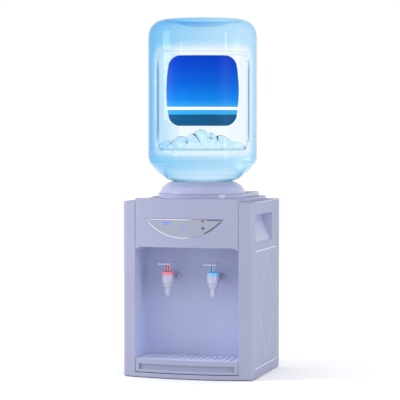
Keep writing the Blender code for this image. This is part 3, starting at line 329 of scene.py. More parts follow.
FINISH = {
    "shell_plastic": plastic("shell_plastic", SHELL),
    # The bay's walls: paler than the shell and paler still towards the floor, painted light against the bay's
    # shade.
    "bay_plastic": plastic("bay_plastic", BAY, 0.42, 0.04, foot=1.16),
    "window_plastic": plastic("window_plastic", (0.288, 0.303, 0.400), 0.22, 0.05, 500, 0.04, 0.2),
    "bottle_plastic": clear_wall("bottle_plastic"),
    "tap_plastic": plastic("tap_plastic", (0.39, 0.41, 0.56), 0.22, 0.03, 700, 0.05, 0.4),
    "cold_plastic": plastic("cold_plastic", (0.16, 0.47, 0.86), 0.22, 0.06, 700, 0.05, 0.4),
    "hot_plastic": plastic("hot_plastic", (0.70, 0.20, 0.26), 0.22, 0.06, 700, 0.05, 0.4),
    "white_plastic": plastic("white_plastic", WHITE, 0.38, 0.03),
    "black_plastic": plastic("black_plastic", (0.022, 0.022, 0.025), 0.42, 0.10, 800, 0.15),
    "steel": metal("steel", (0.60, 0.61, 0.63)),
    "heat_alloy": metal("heat_alloy", (0.74, 0.75, 0.77), 0.36, (60, 1, 1), 30),
    "seal_rubber": plastic("seal_rubber", (0.035, 0.035, 0.038), 0.75, 0.15, 400, 0.3),
    "foam": foam("foam", (0.09, 0.09, 0.10)),
    "board": circuit_board("board"),
    "heater_brass": metal("heater_brass", (0.72, 0.53, 0.22), 0.28, (1, 1, 60), 50),
    # Paler than the side panels: a painted highlight along the lines of the side's relief.
    "bead": plastic("bead", (0.60, 0.62, 0.78), 0.30, 0.03, 700, 0.04, 0.5),
    # Pale strips on the window's top and lower left edge: a painted highlight.
    "bright_edge": plastic("bright_edge", (0.60, 0.62, 0.76), 0.18, 0.03, 700, 0.03, 0.4),
    # Dark rings round the lamps, and dark strips at the window's right tip that are painted shade.
    "dark_edge": plastic("dark_edge", (0.050, 0.052, 0.095), 0.25, 0.08, 700, 0.05, 0.3),
    "printed_blue": plastic("printed_blue", (0.12, 0.27, 0.72), 0.35, 0.05, 700, 0.03),
    "printed_grey": plastic("printed_grey", (0.25, 0.30, 0.52), 0.35, 0.05, 700, 0.03),
    # The grille and the basin under it are far paler than the shell: painted light that lifts the shade in
    # the tray's bay and under its slots.
    "grille_plastic": plastic("grille_plastic", (0.68, 0.72, 0.93), 0.36),
    "basin_plastic": plastic("basin_plastic", (0.62, 0.65, 0.88), 0.36),
    # Darker than the shell: painted shade in the groove along the tray's front.
    "groove_plastic": plastic("groove_plastic", (0.270, 0.290, 0.420), 0.40),
    # Paler than the side panels: painted light that lifts the shade in the grip pockets.
    "pocket_plastic": plastic("pocket_plastic", (0.400, 0.420, 0.590), 0.42, gleam=0.3),
    "side_plastic": plastic("side_plastic", (0.284, 0.303, 0.452), 0.44, gleam=0.22),
    # Darker than the lid's other faces: painted shade on the faces that look up.
    "lid_plastic": plastic("lid_plastic", (0.270, 0.282, 0.400), 0.50, gleam=0.15),
    # Paler than the shell: painted light that lifts the shade under the bottle, on the collar and the lid's
    # upright tiers.
    "collar_plastic": plastic("collar_plastic", (0.40, 0.43, 0.65), 0.30, 0.03, 900, 0.08, 0.2),
    "ceramic_tile": plastic("ceramic_tile", (0.82, 0.81, 0.77), 0.5, 0.03, 300, 0.2),
}


def dress(thing, slot, body=None, nodes=()):
    """Give a piece its finish, and where it is new, its body and the CAD nodes it stands for."""
    thing.data.materials.clear()
    thing.data.materials.append(FINISH[slot])
    if body:
        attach(thing, body)
    if nodes:
        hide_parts(*nodes)
    return thing


def link(name, mesh):
    thing = bpy.data.objects.new(name, mesh)
    bpy.context.scene.collection.objects.link(thing)
    return thing


# ---------------------------------------------------------------- shapes made from CAD nodes
def finish_mesh(thing, angle=38):
    thing.data.shade_smooth()
    thing.data.set_sharp_from_angle(angle=math.radians(angle))
    return thing


def outward_mesh(name, verts, faces, angle=38):
    """A new smooth object from points and faces, with every face turned outwards."""
    mesh = bpy.data.meshes.new(name)
    mesh.from_pydata(verts, [], faces)
    bm = bmesh.new()
    bm.from_mesh(mesh)
    bmesh.ops.recalc_face_normals(bm, faces=bm.faces)
    bm.to_mesh(mesh)
    bm.free()
    return finish_mesh(link(name, mesh), angle)


def welded(node_name):
    """The CAD node's mesh without doubled points and without seams between flat triangles."""
    bm = bmesh.new()
    bm.from_mesh(NODES[node_name].data)
    bmesh.ops.remove_doubles(bm, verts=bm.verts, dist=1e-6)
    bmesh.ops.dissolve_limit(bm, angle_limit=math.radians(0.6), verts=bm.verts, edges=bm.edges)
    return bm


def room_beside(edge):
    """The narrowest breadth of the two faces beside an edge."""
    length = max(edge.calc_length(), 1e-9)
    return min(face.calc_area() / length for face in edge.link_faces)


def refine(node_name, body, width=0.0006, steps=2, angle=32, finish=None):
    """A copy of a CAD node with its longer edges rounded, which stands for the node."""
    bm = welded(node_name)
    bm.normal_update()
    sharp = [e for e in bm.edges if len(e.link_faces) == 2
             and e.calc_face_angle(0) > math.radians(angle)
             and e.calc_length() > 2 * width and room_beside(e) > 2 * width]
    bmesh.ops.bevel(bm, geom=sharp, offset=width, offset_type="OFFSET", segments=steps,
                    profile=0.5, affect="EDGES", clamp_overlap=False)
    low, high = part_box(node_name)
    for vert in bm.verts:
        for axis in range(3):
            vert.co[axis] = min(max(vert.co[axis], low[axis]), high[axis])
    mesh = bpy.data.meshes.new(node_name + "_fine")
    bm.to_mesh(mesh)
    bm.free()
    thing = finish_mesh(link(node_name + "_fine", mesh))
    even = thing.modifiers.new("flat faces stay flat", "WEIGHTED_NORMAL")
    even.keep_sharp = True
    dress(thing, SLOT_OF[node_name], body, [node_name])
    if finish:
        thing.data.materials[0] = FINISH[finish]
    return thing


def meridian(node_name, centre):
    """(radius, height) points of a turned CAD node, in order around or along its section."""
    bm = bmesh.new()
    bm.from_mesh(NODES[node_name].data)
    bmesh.ops.remove_doubles(bm, verts=bm.verts, dist=1e-6)
    spot = {}
    widest = max(bm.verts, key=lambda v: (v.co.xy - centre.xy).length)
    turn = math.atan2(widest.co.y - centre.y, widest.co.x - centre.x)
    for v in bm.verts:
        out = v.co.xy - centre.xy
        if out.length < 1e-5:
            spot[v] = (0.0, v.co.z)
        else:
            off = abs((math.atan2(out.y, out.x) - turn + math.pi) % (2 * math.pi) - math.pi)
            if off < 1e-3:
                spot[v] = (out.length, v.co.z)
    beside = {v: [e.other_vert(v) for e in v.link_edges if e.other_vert(v) in spot] for v in spot}
    ends = [v for v in spot if len(beside[v]) == 1]
    here, before = (ends[0] if ends else next(iter(spot))), None
    path = []
    while here is not None and len(path) <= len(spot):
        path.append(here)
        onward = [v for v in beside[here] if v is not before and v is not path[0]]
        here, before = (onward[0] if onward else None), here
    points = [spot[v] for v in path]
    bm.free()
    return points, not ends


def filleted(points, closed, radius, steps=4, angle=14):
    """The section with its corners rounded."""
    made, count = [], len(points)
    for i, point in enumerate(points):
        here = Vector(point)
        if not closed and i in (0, count - 1):
            made.append(tuple(point))
            continue
        before, after = Vector(points[i - 1]) - here, Vector(points[(i + 1) % count]) - here
        if before.length < 1e-7 or after.length < 1e-7:
            continue
        bend = math.pi - before.angle(after)
        if bend < math.radians(angle):
            made.append(tuple(point))
            continue
        back = min(radius * math.tan(bend / 2), before.length * 0.42, after.length * 0.42)
        a, b = here + before.normalized() * back, here + after.normalized() * back
        for step in range(steps + 1):
            t = step / steps
            made.append(tuple(a * (1 - t) ** 2 + here * 2 * t * (1 - t) + b * t * t))
    return made


def divided(pairs, longest):
    """The start and the points between the two ends of each pair, no further apart than twice longest."""
    fine = []
    for a, b in pairs:
        parts = max(1, int((Vector(b) - Vector(a)).length / longest))
        fine += [tuple(Vector(a).lerp(Vector(b), k / parts)) for k in range(parts)]
    return fine


def turn_section(name, points, closed, centre, steps=72, reach=None):
    """A closed mesh turned from (radius, height) points. reach(angle, radius, height) may move a point."""
    verts, faces, rings = [], [], []
    for radius, height in points:
        if radius < 1e-6:
            rings.append([len(verts)] * steps)
            verts.append((centre.x, centre.y, height))
            continue
        rings.append(list(range(len(verts), len(verts) + steps)))
        for k in range(steps):
            angle = 2 * math.pi * k / steps
            r, z = reach(angle, radius, height) if reach else (radius, height)
            verts.append((centre.x + r * math.cos(angle), centre.y + r * math.sin(angle), z))
    pairs = list(zip(rings, rings[1:])) + ([(rings[-1], rings[0])] if closed else [])
    for upper, lower in pairs:
        for k in range(steps):
            after = (k + 1) % steps
            corners = []
            for index in (upper[k], upper[after], lower[after], lower[k]):
                if index not in corners:
                    corners.append(index)
            if len(corners) > 2:
                faces.append(corners)
    return outward_mesh(name, verts, faces)


def turn_again(node_name, body, centre=None, steps=72, radius=0.0006):
    """A turned CAD node made again with more steps and rounded edges."""
    if centre is None:
        low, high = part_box(node_name)
        centre = (low + high) / 2
    points, closed = meridian(node_name, centre)
    thing = turn_section(node_name + "_fine", filleted(points, closed, radius), closed, centre, steps)
    return dress(thing, SLOT_OF[node_name], body, [node_name])


# ---------------------------------------------------------------- bottle, water and label
WALL = 0.0013
PANEL_HALF = math.radians(60.5)
PANEL_LOW, PANEL_HIGH = MOUTH + 0.1625, MOUTH + 0.4090
PANEL_CORNER = 0.030
PANEL_DEPTH = 0.0026
PANEL_EDGE = 0.0050
RINGS = (MOUTH + 0.1423, MOUTH + 0.1223, MOUTH + 0.1040)
RING_HALF = 0.0013
SHOULDER = 0.145                         # height above the mouth where the straight side ends
NECK_R = 0.0275
PANEL_LEAST_R = 0.12                     # nothing nearer the axis than this is pressed in by a panel
WATER_LEVEL = MOUTH + 0.1660
WATER_GAP = 0.0006
FACE = -math.pi / 2 + VIEW_TURN          # the bottle's front, as it stands in the collar


def smooth(t):
    """0 to 1 along an S curve."""
    t = min(max(t, 0.0), 1.0)
    return t * t * (3 - 2 * t)


def panel_gap(angle, height):
    """Distance to the edge of the nearer recessed panel, less than zero inside it."""
    nearest = 1.0
    for middle in (FACE, FACE + math.pi):
        across = abs((angle - middle + math.pi) % (2 * math.pi) - math.pi) * BOTTLE_R
        half, mid = PANEL_HALF * BOTTLE_R, (PANEL_LOW + PANEL_HIGH) / 2
        u = across - half + PANEL_CORNER
        v = abs(height - mid) - (PANEL_HIGH - PANEL_LOW) / 2 + PANEL_CORNER
        nearest = min(nearest, math.hypot(max(u, 0), max(v, 0)) + min(max(u, v), 0) - PANEL_CORNER)
    return nearest


def panel_depth(angle, height):
    return PANEL_DEPTH * smooth(-panel_gap(angle, height) / PANEL_EDGE)


def wall_tint_and_shade(angle, height):
    """0 to 1: how deeply the wall is tinted. Thin within the panels and thick outside them, less so low down;
    the rings below the panels are thicker too. On the bottle's left side, within the panels and outside them,
    more tint is added as painted shade."""
    gap = panel_gap(angle, height)
    rings = sum(math.exp(-((height - ring) / RING_HALF) ** 2) for ring in RINGS)
    outside = smooth((gap - 0.004) / 0.020)
    # leftness grows on the bottle's left as seen and adds painted shade there.
    leftness = -math.sin(angle - FACE)
    low_down = smooth((MOUTH + SHOULDER - height) / 0.04)
    heavy = (0.68 + 0.32 * leftness) * (1 - 0.85 * low_down)
    within = 0.06 + 0.42 * smooth((leftness - 0.30) / 0.5) * (1 - outside)
    return min(1.0, 0.35 * rings + outside * heavy + within)


def panel_line(angle, height):
    """0 to 1 on the thin thick-walled line just inside a panel's edge, darkest on its sides."""
    line = math.exp(-((panel_gap(angle, height) + 0.0050) / 0.0012) ** 2)
    upright = 1 - smooth((abs(height - (PANEL_LOW + PANEL_HIGH) / 2) - 0.070) / 0.045)
    foot = smooth((PANEL_LOW + 0.012 - height) / 0.004)
    return line * min(1.0, 0.30 + 0.70 * upright + 0.6 * foot)


def bottle_side():
    """(radius, height) down the outside of the bottle, from the middle of its base to the mouth."""
    r, top = BOTTLE_R, BOTTLE_TOP
    base = [(0, top - 0.017), (0.020, top - 0.0168), (0.040, top - 0.0150), (0.060, top - 0.0105),
            (0.074, top - 0.0048), (0.082, top - 0.0012), (0.089, top), (0.096, top - 0.0004)]
    bulge, rise = 0.039, 0.043
    for step in range(1, 15):
        t = math.radians(90 - 90 * step / 14)
        base.append((r - bulge + bulge * math.cos(t), top - 0.0012 - rise + rise * math.sin(t)))
    side, z = [], base[-1][1] - 0.003
    while z > MOUTH + SHOULDER + 0.003:
        side.append((r, z))
        z -= 0.0026
    low = [(r, MOUTH + SHOULDER), (r - 0.004, MOUTH + 0.1335), (r - 0.0145, MOUTH + 0.1205),
           (r - 0.024, MOUTH + 0.1100), (r - 0.0345, MOUTH + 0.1000), (r - 0.045, MOUTH + 0.0930),
           (0.080, MOUTH + 0.0892), (0.069, MOUTH + 0.0868),
           (NECK_R + 0.001, MOUTH + 0.0515), (NECK_R, MOUTH + 0.0485), (NECK_R, MOUTH)]
    low = filleted([side[-1]] + low, False, 0.009, 5, 6)[1:]
    return base + side + divided(list(zip(low, low[1:])), 0.004) + [low[-1]]


def inward(points, distance):
    """The same line moved towards the axis side by a wall, point by point along its normals."""
    moved = []
    for i, (radius, height) in enumerate(points):
        before, after = points[max(i - 1, 0)], points[min(i + 1, len(points) - 1)]
        along = Vector((after[0] - before[0], after[1] - before[1])).normalized()
        moved.append((max(radius + along.y * distance, 0.0), height - along.x * distance))
    moved[0] = (0, points[0][1] - distance)
    moved[-1] = (points[-1][0] - distance, points[-1][1])
    return moved


def into_panel(angle, radius, height):
    return (radius - panel_depth(angle, height) if radius > PANEL_LEAST_R else radius), height


def make_bottle():
    outer = bottle_side()
    inner = inward(outer, WALL)
    wall = turn_section("bottle_wall", outer + inner[::-1], False, AXIS, 180, into_panel)
    for name, rule in (("thickness_and_shade", wall_tint_and_shade), ("panel_line", panel_line)):
        values = wall.data.attributes.new(name, "FLOAT", "POINT")
        for spot, vertex in zip(values.data, wall.data.vertices):
            out = vertex.co.xy - AXIS.xy
            spot.value = rule(math.atan2(out.y, out.x), vertex.co.z)
    dress(wall, "bottle_plastic", "bottle", ["bottle_shell"])
    finish_mesh(wall, 50)
    return inner


DOMES = (  # across the view, away from the viewer, radius, height above the still water
    (-0.052, -0.070, 0.030, 0.034), (-0.004, -0.086, 0.034, 0.050), (0.044, -0.074, 0.031, 0.036),
    (-0.088, -0.030, 0.024, 0.022), (0.086, -0.034, 0.022, 0.018), (-0.026, -0.050, 0.024, 0.040),
    (0.022, -0.048, 0.022, 0.042), (-0.060, 0.010, 0.032, 0.026), (0.052, 0.016, 0.030, 0.030),
    (0.000, 0.052, 0.034, 0.034), (-0.080, 0.058, 0.020, 0.018), (0.074, 0.060, 0.022, 0.020),
)


def water_rise(x, y):
    """Height of the churned surface above the still water: gulped air lifts it in domes."""
    across = Vector((math.cos(VIEW_TURN), math.sin(VIEW_TURN)))
    away = Vector((-math.sin(VIEW_TURN), math.cos(VIEW_TURN)))
    place = Vector((x - AXIS.x, y - AXIS.y))
    u, v = place.dot(across), place.dot(away)
    rise = 0.0
    for dome_u, dome_v, radius, height in DOMES:
        far = math.hypot(u - dome_u, v - dome_v) / radius
        if far < 1:
            rise += (height * (1 - far * far) ** 0.7) ** 4
    return rise ** 0.25


def make_water(inner):
    """The water within the bottle's inner wall, with its churned top."""
    level, gap, rings = WATER_LEVEL, WATER_GAP, 44
    side = [(r - gap, z) for r, z in inward(inner, gap) if z < level and r > gap]
    top = [(side[0][0] * k / rings, level) for k in range(1, rings + 1)]
    points = [(0, level)] + top + side + [(0, side[-1][1])]

    def reach(angle, radius, height):
        if abs(height - level) < 1e-6:
            radius = min(radius, side[0][0] - panel_depth(angle, level + 0.01) * 0.9)
            edge = smooth((side[0][0] - radius - 0.004) / 0.012)
            x, y = AXIS.x + radius * math.cos(angle), AXIS.y + radius * math.sin(angle)
            return radius, level + water_rise(x, y) * edge
        return into_panel(angle, radius, height)

    body = turn_section("bottle_water", points, False, AXIS, 144, reach)
    body.data.materials.append(water("drinking_water"))
    finish_mesh(body, 44)
    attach(body, "bottle")


LABEL_HALF = math.radians(41.5)
LABEL_LOW, LABEL_HIGH = MOUTH + 0.2240, MOUTH + 0.3955
LABEL_THICK = 0.00035
FOOT_TOP, STRIPE_MIDDLE, STRIPE_HALF, PRINT_SOFT = 0.16, 0.25, 0.016, 0.008   # shares of its height


def label_edge(v):
    """Half of the label's breadth, as a share of its widest, at a share of its height: a barrel."""
    level = 2 * v - 1
    side = 0.86 + 0.14 * (1 - level * level)
    corner = max(abs(level) - 0.72, 0) / 0.28
    return side - 0.30 * (1 - math.sqrt(max(1 - corner ** 2, 0)))


def make_label():
    """A thin printed film on the front panel, with its print laid out in its own UV map."""
    rows, columns = 96, 64
    radius = BOTTLE_R - PANEL_DEPTH + 0.0002
    verts, faces, uvs = [], [], []
    for layer in (0.0, LABEL_THICK):
        for row in range(rows + 1):
            v = 0.004 + 0.992 * row / rows
            half = label_edge(v)
            for column in range(columns + 1):
                u = (2 * column / columns - 1) * half
                angle = FACE + u * LABEL_HALF
                r = radius + layer
                verts.append((AXIS.x + r * math.cos(angle), AXIS.y + r * math.sin(angle),
                              LABEL_LOW + (LABEL_HIGH - LABEL_LOW) * v))
                uvs.append(((u + 1) / 2, v))
    wide, layer_size = columns + 1, (rows + 1) * (columns + 1)
    for row in range(rows):
        for column in range(columns):
            a = row * wide + column
            faces.append((a + 1, a, a + wide, a + wide + 1))
            faces.append(tuple(layer_size + k for k in (a, a + 1, a + wide + 1, a + wide)))
    rim = ([row * wide for row in range(rows, 0, -1)] + list(range(0, columns))
           + [row * wide + columns for row in range(0, rows)]
           + [rows * wide + column for column in range(columns, 0, -1)])
    for a, b in zip(rim, rim[1:] + rim[:1]):
        faces.append((a, b, b + layer_size, a + layer_size))
    label = outward_mesh("label", verts, faces, 40)
    print_map = label.data.uv_layers.new(name="print")
    for loop in label.data.loops:
        print_map.data[loop.index].uv = uvs[loop.vertex_index]
    label.data.materials.append(label_print())
    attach(label, "bottle")
    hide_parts("bottle_label")


def label_print():
    """A generic print: plain blue that pales downwards, one straight stripe and a plain darker foot."""
    n = Nodes("label_film")
    where = n.add("UVMap", uv_map="print")
    split = n.add("SeparateXYZ")
    n.join(where.outputs["UV"], split.inputs["Vector"])
    height = split.outputs["Y"]

    def calc(operation, *values):
        made = n.add("Math", operation=operation)
        for socket, value in zip(made.inputs, values):
            if isinstance(value, float):
                socket.default_value = value
            else:
                n.join(value, socket)
        return made.outputs["Value"]

    def below(value, limit):
        """1 where value is under the limit, over a soft edge."""
        made = n.add("MapRange", interpolation_type="SMOOTHSTEP")
        ends = {"From Min": limit, "From Max": limit + PRINT_SOFT, "To Min": 1.0, "To Max": 0.0}
        for key, number in ends.items():
            made.inputs[key].default_value = number
        n.join(value, made.inputs["Value"])
        return made.outputs["Result"]

    grain = n.noise(where.outputs["UV"], 9, 6, 0.6)
    sky = n.ramp(calc("MULTIPLY_ADD", grain, 0.04, height),
                 (0.0, (0.02, 0.28, 0.52)), (0.26, (0.03, 0.34, 0.72)), (0.40, (0.003, 0.18, 0.66)),
                 (0.62, (0.0, 0.098, 0.55)), (0.85, (0.0, 0.054, 0.50)), (1.0, (0.0, 0.038, 0.44)))
    sky = n.mixed(below(height, FOOT_TOP), sky, (0.004, 0.080, 0.20))
    from_stripe = calc("ABSOLUTE", calc("SUBTRACT", height, STRIPE_MIDDLE))
    sky = n.mixed(below(from_stripe, STRIPE_HALF), sky, (0.92, 0.95, 0.96))
    n.join(sky, n.shader.inputs["Base Color"])
    n.join(n.span(n.noise(where.outputs["UV"], 60, 3), 0.26, 0.36), n.shader.inputs["Roughness"])
    n.bump(n.noise(where.outputs["UV"], 150, 2), 0.05, 0.0001)
    n.set(Specular_IOR_Level=0.06)
    return n.material


# ---------------------------------------------------------------- cabinet details
def make_collar():
    """The bottle seat: the CAD section turned again, with its corners rounded."""
    points, closed = meridian("bottle_collar", AXIS)
    section = filleted(points, closed, 0.0016, 5)
    collar = turn_section("collar_fine", section, closed, AXIS, 120)
    dress(collar, "shell_plastic", "cabinet", ["bottle_collar"])
    # The collar is paler than the shell: painted light against the bottle's shade.
    collar.data.materials[0] = FINISH["collar_plastic"]
    return collar


def bar_along(name, path, half_wide, half_deep, corner=10):
    """A rounded bead along a closed loop of points in Y and Z. Its section is an ellipse."""
    verts, faces, count = [], [], len(path)
    for i, point in enumerate(path):
        before, after = Vector(path[i - 1]), Vector(path[(i + 1) % count])
        a, b = (Vector(point) - before).normalized(), (after - Vector(point)).normalized()
        along = (a + b).normalized()
        side = Vector((-along.y, along.x)) / max(along.dot(b), 0.3)
        for k in range(corner):
            t = 2 * math.pi * k / corner
            spot = Vector(point) + side * half_wide * math.cos(t)
            verts.append((half_deep * math.sin(t), spot.x, spot.y))
    for i in range(count):
        for k in range(corner):
            nxt, up = ((i + 1) % count) * corner, (k + 1) % corner
            faces.append((i * corner + k, i * corner + up, nxt + up, nxt + k))
    return outward_mesh(name, verts, faces, 60)


GROOVE_WIDE, GROOVE_DEEP = 0.003, 0.0008
DIAMOND_Y, DIAMOND_Z = AXIS.y + 0.010, 0.169
DIAMOND_HALF_Y, DIAMOND_HALF_Z = 0.090, 0.128
BORDER_LOW, BORDER_HIGH = 0.023, 0.311
BORDER_FRONT, BORDER_REAR = 0.0152, 0.0225       # in from the panel's front and rear ends


def groove_loops():
    """Middle lines of the side panel's diamond and border grooves, as part.py cuts them."""
    inset = GROOVE_WIDE / 2
    diamond_y, diamond_z = DIAMOND_Y, DIAMOND_Z
    across, up = DIAMOND_HALF_Y - inset, DIAMOND_HALF_Z - inset * 1.4
    diamond = [(diamond_y - across, diamond_z), (diamond_y, diamond_z - up),
               (diamond_y + across, diamond_z), (diamond_y, diamond_z + up)]
    low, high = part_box("side_panel_right")
    front, rear = low.y + BORDER_FRONT + inset, high.y - BORDER_REAR - inset
    foot, head = BORDER_LOW + inset, BORDER_HIGH - inset
    border = [(front, foot), (rear, foot), (rear, head), (front, head)]
    return {"diamond": diamond, "border": border}


def make_side_beads():
    """Beads that fill the grooves of the side panels, flush with the panel. They are paler than the panel: a
    painted highlight along the diamond and border lines.
    """
    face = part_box("side_panel_right")[1].x
    for side, word in ((1, "right"), (-1, "left")):
        for name, loop in groove_loops().items():
            bead = bar_along(f"side_{word}_{name}", loop, GROOVE_WIDE * 0.5, GROOVE_DEEP * 0.92)
            bead.location.x = side * (face - GROOVE_DEEP * 0.96)
            bead.data.materials.append(FINISH["bead"])
            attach(bead, "cabinet")


BOW_HALF, BOW_BULGE = 0.1635, 0.022      # half the cabinet's breadth, and how far its front bows out


def bow_face(x):
    """Y of the cabinet's bowed front at x."""
    radius = (BOW_HALF ** 2 + BOW_BULGE ** 2) / (2 * BOW_BULGE)
    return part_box("front_frame")[0].y + radius - math.sqrt(radius ** 2 - x * x)


STRIP_THICK = 0.0006
MARK_FRONT, MARK_BACK = 0.00022, 0.0006  # in from the window's bowed face


def window_run(inset, start, end, count=40):
    """Points of the window's outline in X and Z: its straight top (0 to 1) and its arc (1 to 2)."""
    low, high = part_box("control_window")
    drop, half = high.z - low.z, (high.x - low.x) / 2
    middle = (high.x + low.x) / 2
    radius = (half ** 2 + drop ** 2) / (2 * drop)
    centre_z = low.z + radius
    top = high.z - inset
    radius -= inset
    reach = math.acos((centre_z - top) / radius)
    tip = radius * math.sin(reach)
    points = []
    for i in range(count + 1):
        t = start + (end - start) * i / count
        if t <= 1:
            points.append((middle - tip + 2 * tip * t, top))
        else:
            turn = reach - 2 * reach * (t - 1)
            points.append((middle + radius * math.sin(turn), centre_z - radius * math.cos(turn)))
    return points


def window_strip(name, start, end, inset, wide, depth, finish):
    """A thin strip that follows part of the window's edge, laid on the window's bowed face. The pale strips
    paint a highlight and the dark ones paint shade.
    """
    outer, inner = window_run(inset, start, end), window_run(inset + wide, start, end)
    verts, faces, count = [], [], len(outer)
    for i, (a, b) in enumerate(zip(outer, inner)):
        fade = min(1.0, min(i, count - 1 - i) / 5 + 0.12)
        b = tuple(Vector(a).lerp(Vector(b), fade))
        for y_in in (depth, depth + STRIP_THICK):
            for x, z in (a, b):
                verts.append((x, bow_face(x) + y_in, z))
    for i in range(count - 1):
        m, k = 4 * i, 4 * (i + 1)
        for p, q in ((0, 1), (1, 3), (3, 2), (2, 0)):
            faces.append((m + p, m + q, k + q, k + p))
    faces += [(0, 2, 3, 1), tuple(4 * (count - 1) + k for k in (0, 1, 3, 2))]
    strip = outward_mesh(name, verts, faces, 40)
    strip.data.materials.append(FINISH[finish])
    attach(strip, "cabinet")


def window_mark(name, x, z, wide, high, finish):
    """A small flat pill printed on the window."""
    verts, faces, count = [], [], 20
    for y_in in (MARK_FRONT, MARK_BACK):
        for k in range(count):
            t = 2 * math.pi * k / count
            u = math.copysign(abs(math.cos(t)) ** 0.5, math.cos(t)) * wide / 2
            v = math.copysign(abs(math.sin(t)) ** 0.8, math.sin(t)) * high / 2
            verts.append((x + u, bow_face(x + u) + y_in, z + v))
    faces = [tuple(range(count)), tuple(reversed(range(count, 2 * count)))]
    faces += [(k, (k + 1) % count, count + (k + 1) % count, count + k) for k in range(count)]
    mark = outward_mesh(name, verts, faces, 40)
    mark.data.materials.append(FINISH[finish])
    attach(mark, "cabinet")


# The pale strips are a painted highlight; the dark strips at the right tip are painted shade.
WINDOW_STRIPS = (  # name, start and end along the outline, inset, breadth, depth, finish
    ("window_painted_highlight_top", 0.0, 0.62, 0.0002, 0.0021, 0.0002, "bright_edge"),
    ("window_painted_highlight_arc", 1.40, 2.0, 0.0002, 0.0024, 0.0002, "bright_edge"),
    ("window_tip_painted_shade_top", 0.80, 1.0, 0.0012, 0.0020, 0.00015, "dark_edge"),
    ("window_tip_painted_shade_arc", 1.0, 1.26, 0.0012, 0.0024, 0.00015, "dark_edge"),
)
WINDOW_MARKS = (  # name, x, z, breadth, height, finish
    ("window_mark_left", -0.0480, 0.3790, 0.021, 0.0042, "printed_blue"),
    ("window_mark_stem", -0.0480, 0.3735, 0.006, 0.0035, "printed_blue"),
    ("window_mark_middle", -0.0030, 0.3708, 0.020, 0.0026, "printed_grey"),
    ("window_mark_low", -0.0010, 0.3640, 0.014, 0.0020, "printed_blue"),
)
LED_RING = 0.0066


def make_window():
    """The window's painted highlight strips on its top and lower left edge, its painted shade strips at its
    right tip, its plain printed pills and the rings of the lamps.
    """
    for strip in WINDOW_STRIPS:
        window_strip(*strip)
    for mark in WINDOW_MARKS:
        window_mark(*mark)
    for name in ("led_power", "led_heating"):
        low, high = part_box(name)
        x, z = (low.x + high.x) / 2, (low.z + high.z) / 2
        window_mark(name + "_ring", x, z, LED_RING, LED_RING, "dark_edge")


SPOUT_R, SPOUT_BORE, SPOUT_DEEP = 0.0068, 0.0045, 0.025
SHANK_R, FLANGE_R = 0.0080, 0.0125
CAP_RIBS, RIB_DEEP = 28, 0.00035


def make_tap(word, plunger, lever):
    """One tap: smooth body and spout, ribbed cap, and a lever with rounded edges."""
    low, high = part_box(f"{word}_tap_body")
    cap_low, cap_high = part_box(f"{word}_tap_cap")
    centre = Vector(((cap_low.x + cap_high.x) / 2, (cap_low.y + cap_high.y) / 2, 0))
    wide = (cap_high.x - cap_low.x) / 2 - 0.0005
    top, base = high.z, low.z
    waist = top - 0.021
    section = [(wide, top), (wide, waist + 0.004), (wide - 0.0014, waist), (wide - 0.0032, waist - 0.0018),
               (wide - 0.0036, waist - 0.0085), (SPOUT_R + 0.0004, waist - 0.0100), (SPOUT_R, base + 0.001),
               (SPOUT_R - 0.0006, base), (SPOUT_BORE, base), (SPOUT_BORE, base + SPOUT_DEEP),
               (wide - 0.0033, base + SPOUT_DEEP), (wide - 0.0033, top)]
    body = turn_section(f"{word}_tap_body_fine", filleted(section, True, 0.0012, 4), True, centre, 64)
    dress(body, "tap_plastic", "cabinet", [f"{word}_tap_body"])
    bay_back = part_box("niche_liner")[1].y
    shank_z, start = top - 0.011, centre.y + wide - 0.0025
    shank_line = [(0, start), (SHANK_R, start), (SHANK_R, bay_back - 0.0065), (FLANGE_R, bay_back - 0.0055),
                  (FLANGE_R, bay_back - 0.0027), (SHANK_R, bay_back - 0.0027), (SHANK_R, high.y), (0, high.y)]
    shank = turn_section(f"{word}_tap_shank", filleted(shank_line, False, 0.0008), False, Vector(), 48)
    to_back = Matrix.Rotation(math.radians(-90), 4, "X")
    shank.data.transform(Matrix.Translation((centre.x, 0, shank_z)) @ to_back)
    dress(shank, "tap_plastic", "cabinet")
    points, closed = meridian(f"{word}_tap_cap", centre)

    def ribs(angle, radius, height):
        if radius > wide - 0.0002 and cap_low.z + 0.001 < height < cap_high.z - 0.0025:
            return radius - RIB_DEEP * (0.5 + 0.5 * math.cos(angle * CAP_RIBS)), height
        return radius, height

    line = filleted(points, closed, 0.0009, 4)
    fine = divided(list(zip(line, line[1:] + line[:1])), 0.0016)
    cap = turn_section(f"{word}_tap_cap_fine", fine, closed, centre, 168, ribs)
    dress(cap, f"{word}_plastic", "cabinet", [f"{word}_tap_cap"])
    refine(f"{word}_tap_stem", plunger, 0.0003)
    refine(f"{word}_tap_lever", lever, 0.0007, 3)


REFINED = {  # how far each piece's edges are rounded
    "front_frame": 0.0012, "control_panel": 0.0018, "niche_liner": 0.0008, "side_panel_left": 0.0005,
    "side_panel_right": 0.0005, "back_panel": 0.0006, "base_plate": 0.0006,
    "drip_tray": 0.0008, "control_window": 0.0003, "heat_sink": 0.0003, "fan_frame": 0.0006,
    "led_board": 0.0002, "cold_block": 0.0005, "peltier_module": 0.0003, "thermostat": 0.0004,
    "thermal_cutout": 0.0004, "heater_switch": 0.0004, "switch_housing": 0.0004, "tank_stand": 0.0005,
}
OWN_FINISH = {"side_panel_left": "side_plastic", "side_panel_right": "side_plastic"}


def paint(thing, finish, chosen):
    """Give the faces that chosen(middle, normal) picks a finish of their own."""
    thing.data.materials.append(FINISH[finish])
    number = len(thing.data.materials) - 1
    for face in thing.data.polygons:
        if chosen(face.center, face.normal):
            face.material_index = number


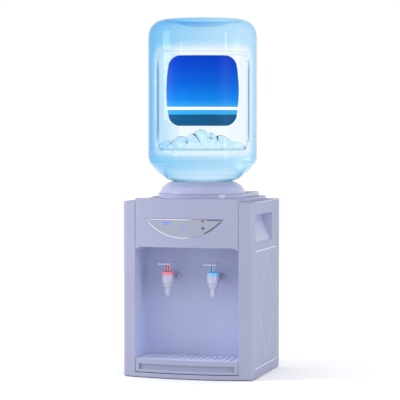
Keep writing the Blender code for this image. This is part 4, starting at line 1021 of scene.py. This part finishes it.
TRAY_GROOVE_LOW, TRAY_GROOVE_HIGH, TRAY_FRONT = 0.0200, 0.0346, -0.125
POCKET_IN, POCKET_OUT = 0.1372, 0.1620
POCKET_LOW, POCKET_HIGH = 0.3300, 0.3985
POCKET_Y, POCKET_HALF = -0.013, 0.0845


def in_groove(middle, normal):
    """The groove along the tray's front."""
    return (bow_face(middle.x) + 0.002 < middle.y < TRAY_FRONT
            and TRAY_GROOVE_LOW < middle.z < TRAY_GROOVE_HIGH)


def in_basin(middle, normal):
    """The tray's faces that look up, behind its front."""
    return normal.z > 0.5 and middle.y > bow_face(middle.x) + 0.006


def faces_up(middle, normal):
    return normal.z > 0.9


def in_pocket(middle, normal):
    """The walls of a side panel's grip pocket."""
    return (POCKET_IN < abs(middle.x) < POCKET_OUT and POCKET_LOW <= middle.z <= POCKET_HIGH
            and abs(middle.y - POCKET_Y) < POCKET_HALF)


def make_cabinet():
    """The cabinet's pieces with rounded edges. The lid keeps its CAD mesh and is only painted: paler on its
    upright faces as painted light, darker on the faces that look up as painted shade.
    """
    made = {node_name: refine(node_name, BODY_OF[node_name], width, finish=OWN_FINISH.get(node_name))
            for node_name, width in REFINED.items()}
    # The groove along the tray's front gets painted shade.
    paint(made["drip_tray"], "groove_plastic", in_groove)
    # The basin gets painted light, paler than the tray.
    paint(made["drip_tray"], "basin_plastic", in_basin)
    # The lid's upright faces take the collar's paler colour: painted light.
    NODES["top_cover"].data.materials[0] = FINISH["collar_plastic"]
    # The lid's faces that look up get painted shade.
    paint(NODES["top_cover"], "lid_plastic", faces_up)
    # The grip pockets' walls get painted light, paler than the panel.
    paint(made["side_panel_left"], "pocket_plastic", in_pocket)
    paint(made["side_panel_right"], "pocket_plastic", in_pocket)
    # The grille gets painted light, paler than the shell.
    refine("drip_grille", "grille", 0.0004, finish="grille_plastic")
    make_collar()
    make_side_beads()
    make_window()
    make_tap("cold", "cold_plunger", "cold_lever")
    make_tap("hot", "hot_plunger", "hot_lever")
    turn_again("bottle_cap", "bottle", AXIS, 96)
    for number in range(1, 5):
        turn_again(f"foot_{number}", "cabinet", None, 48, 0.0010)


# ---------------------------------------------------------------- the object
SLOT_OF = {row["node"]: row["material_slot"] for row in frame["record"]["subparts"]}
BODY_OF = {name: node["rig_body"] for name, node in NODES.items()}
for node_name, node in NODES.items():
    if SLOT_OF[node_name] in FINISH:
        dress(node, SLOT_OF[node_name])

make_cabinet()
make_water(make_bottle())
make_label()
make_camera()
make_studio()
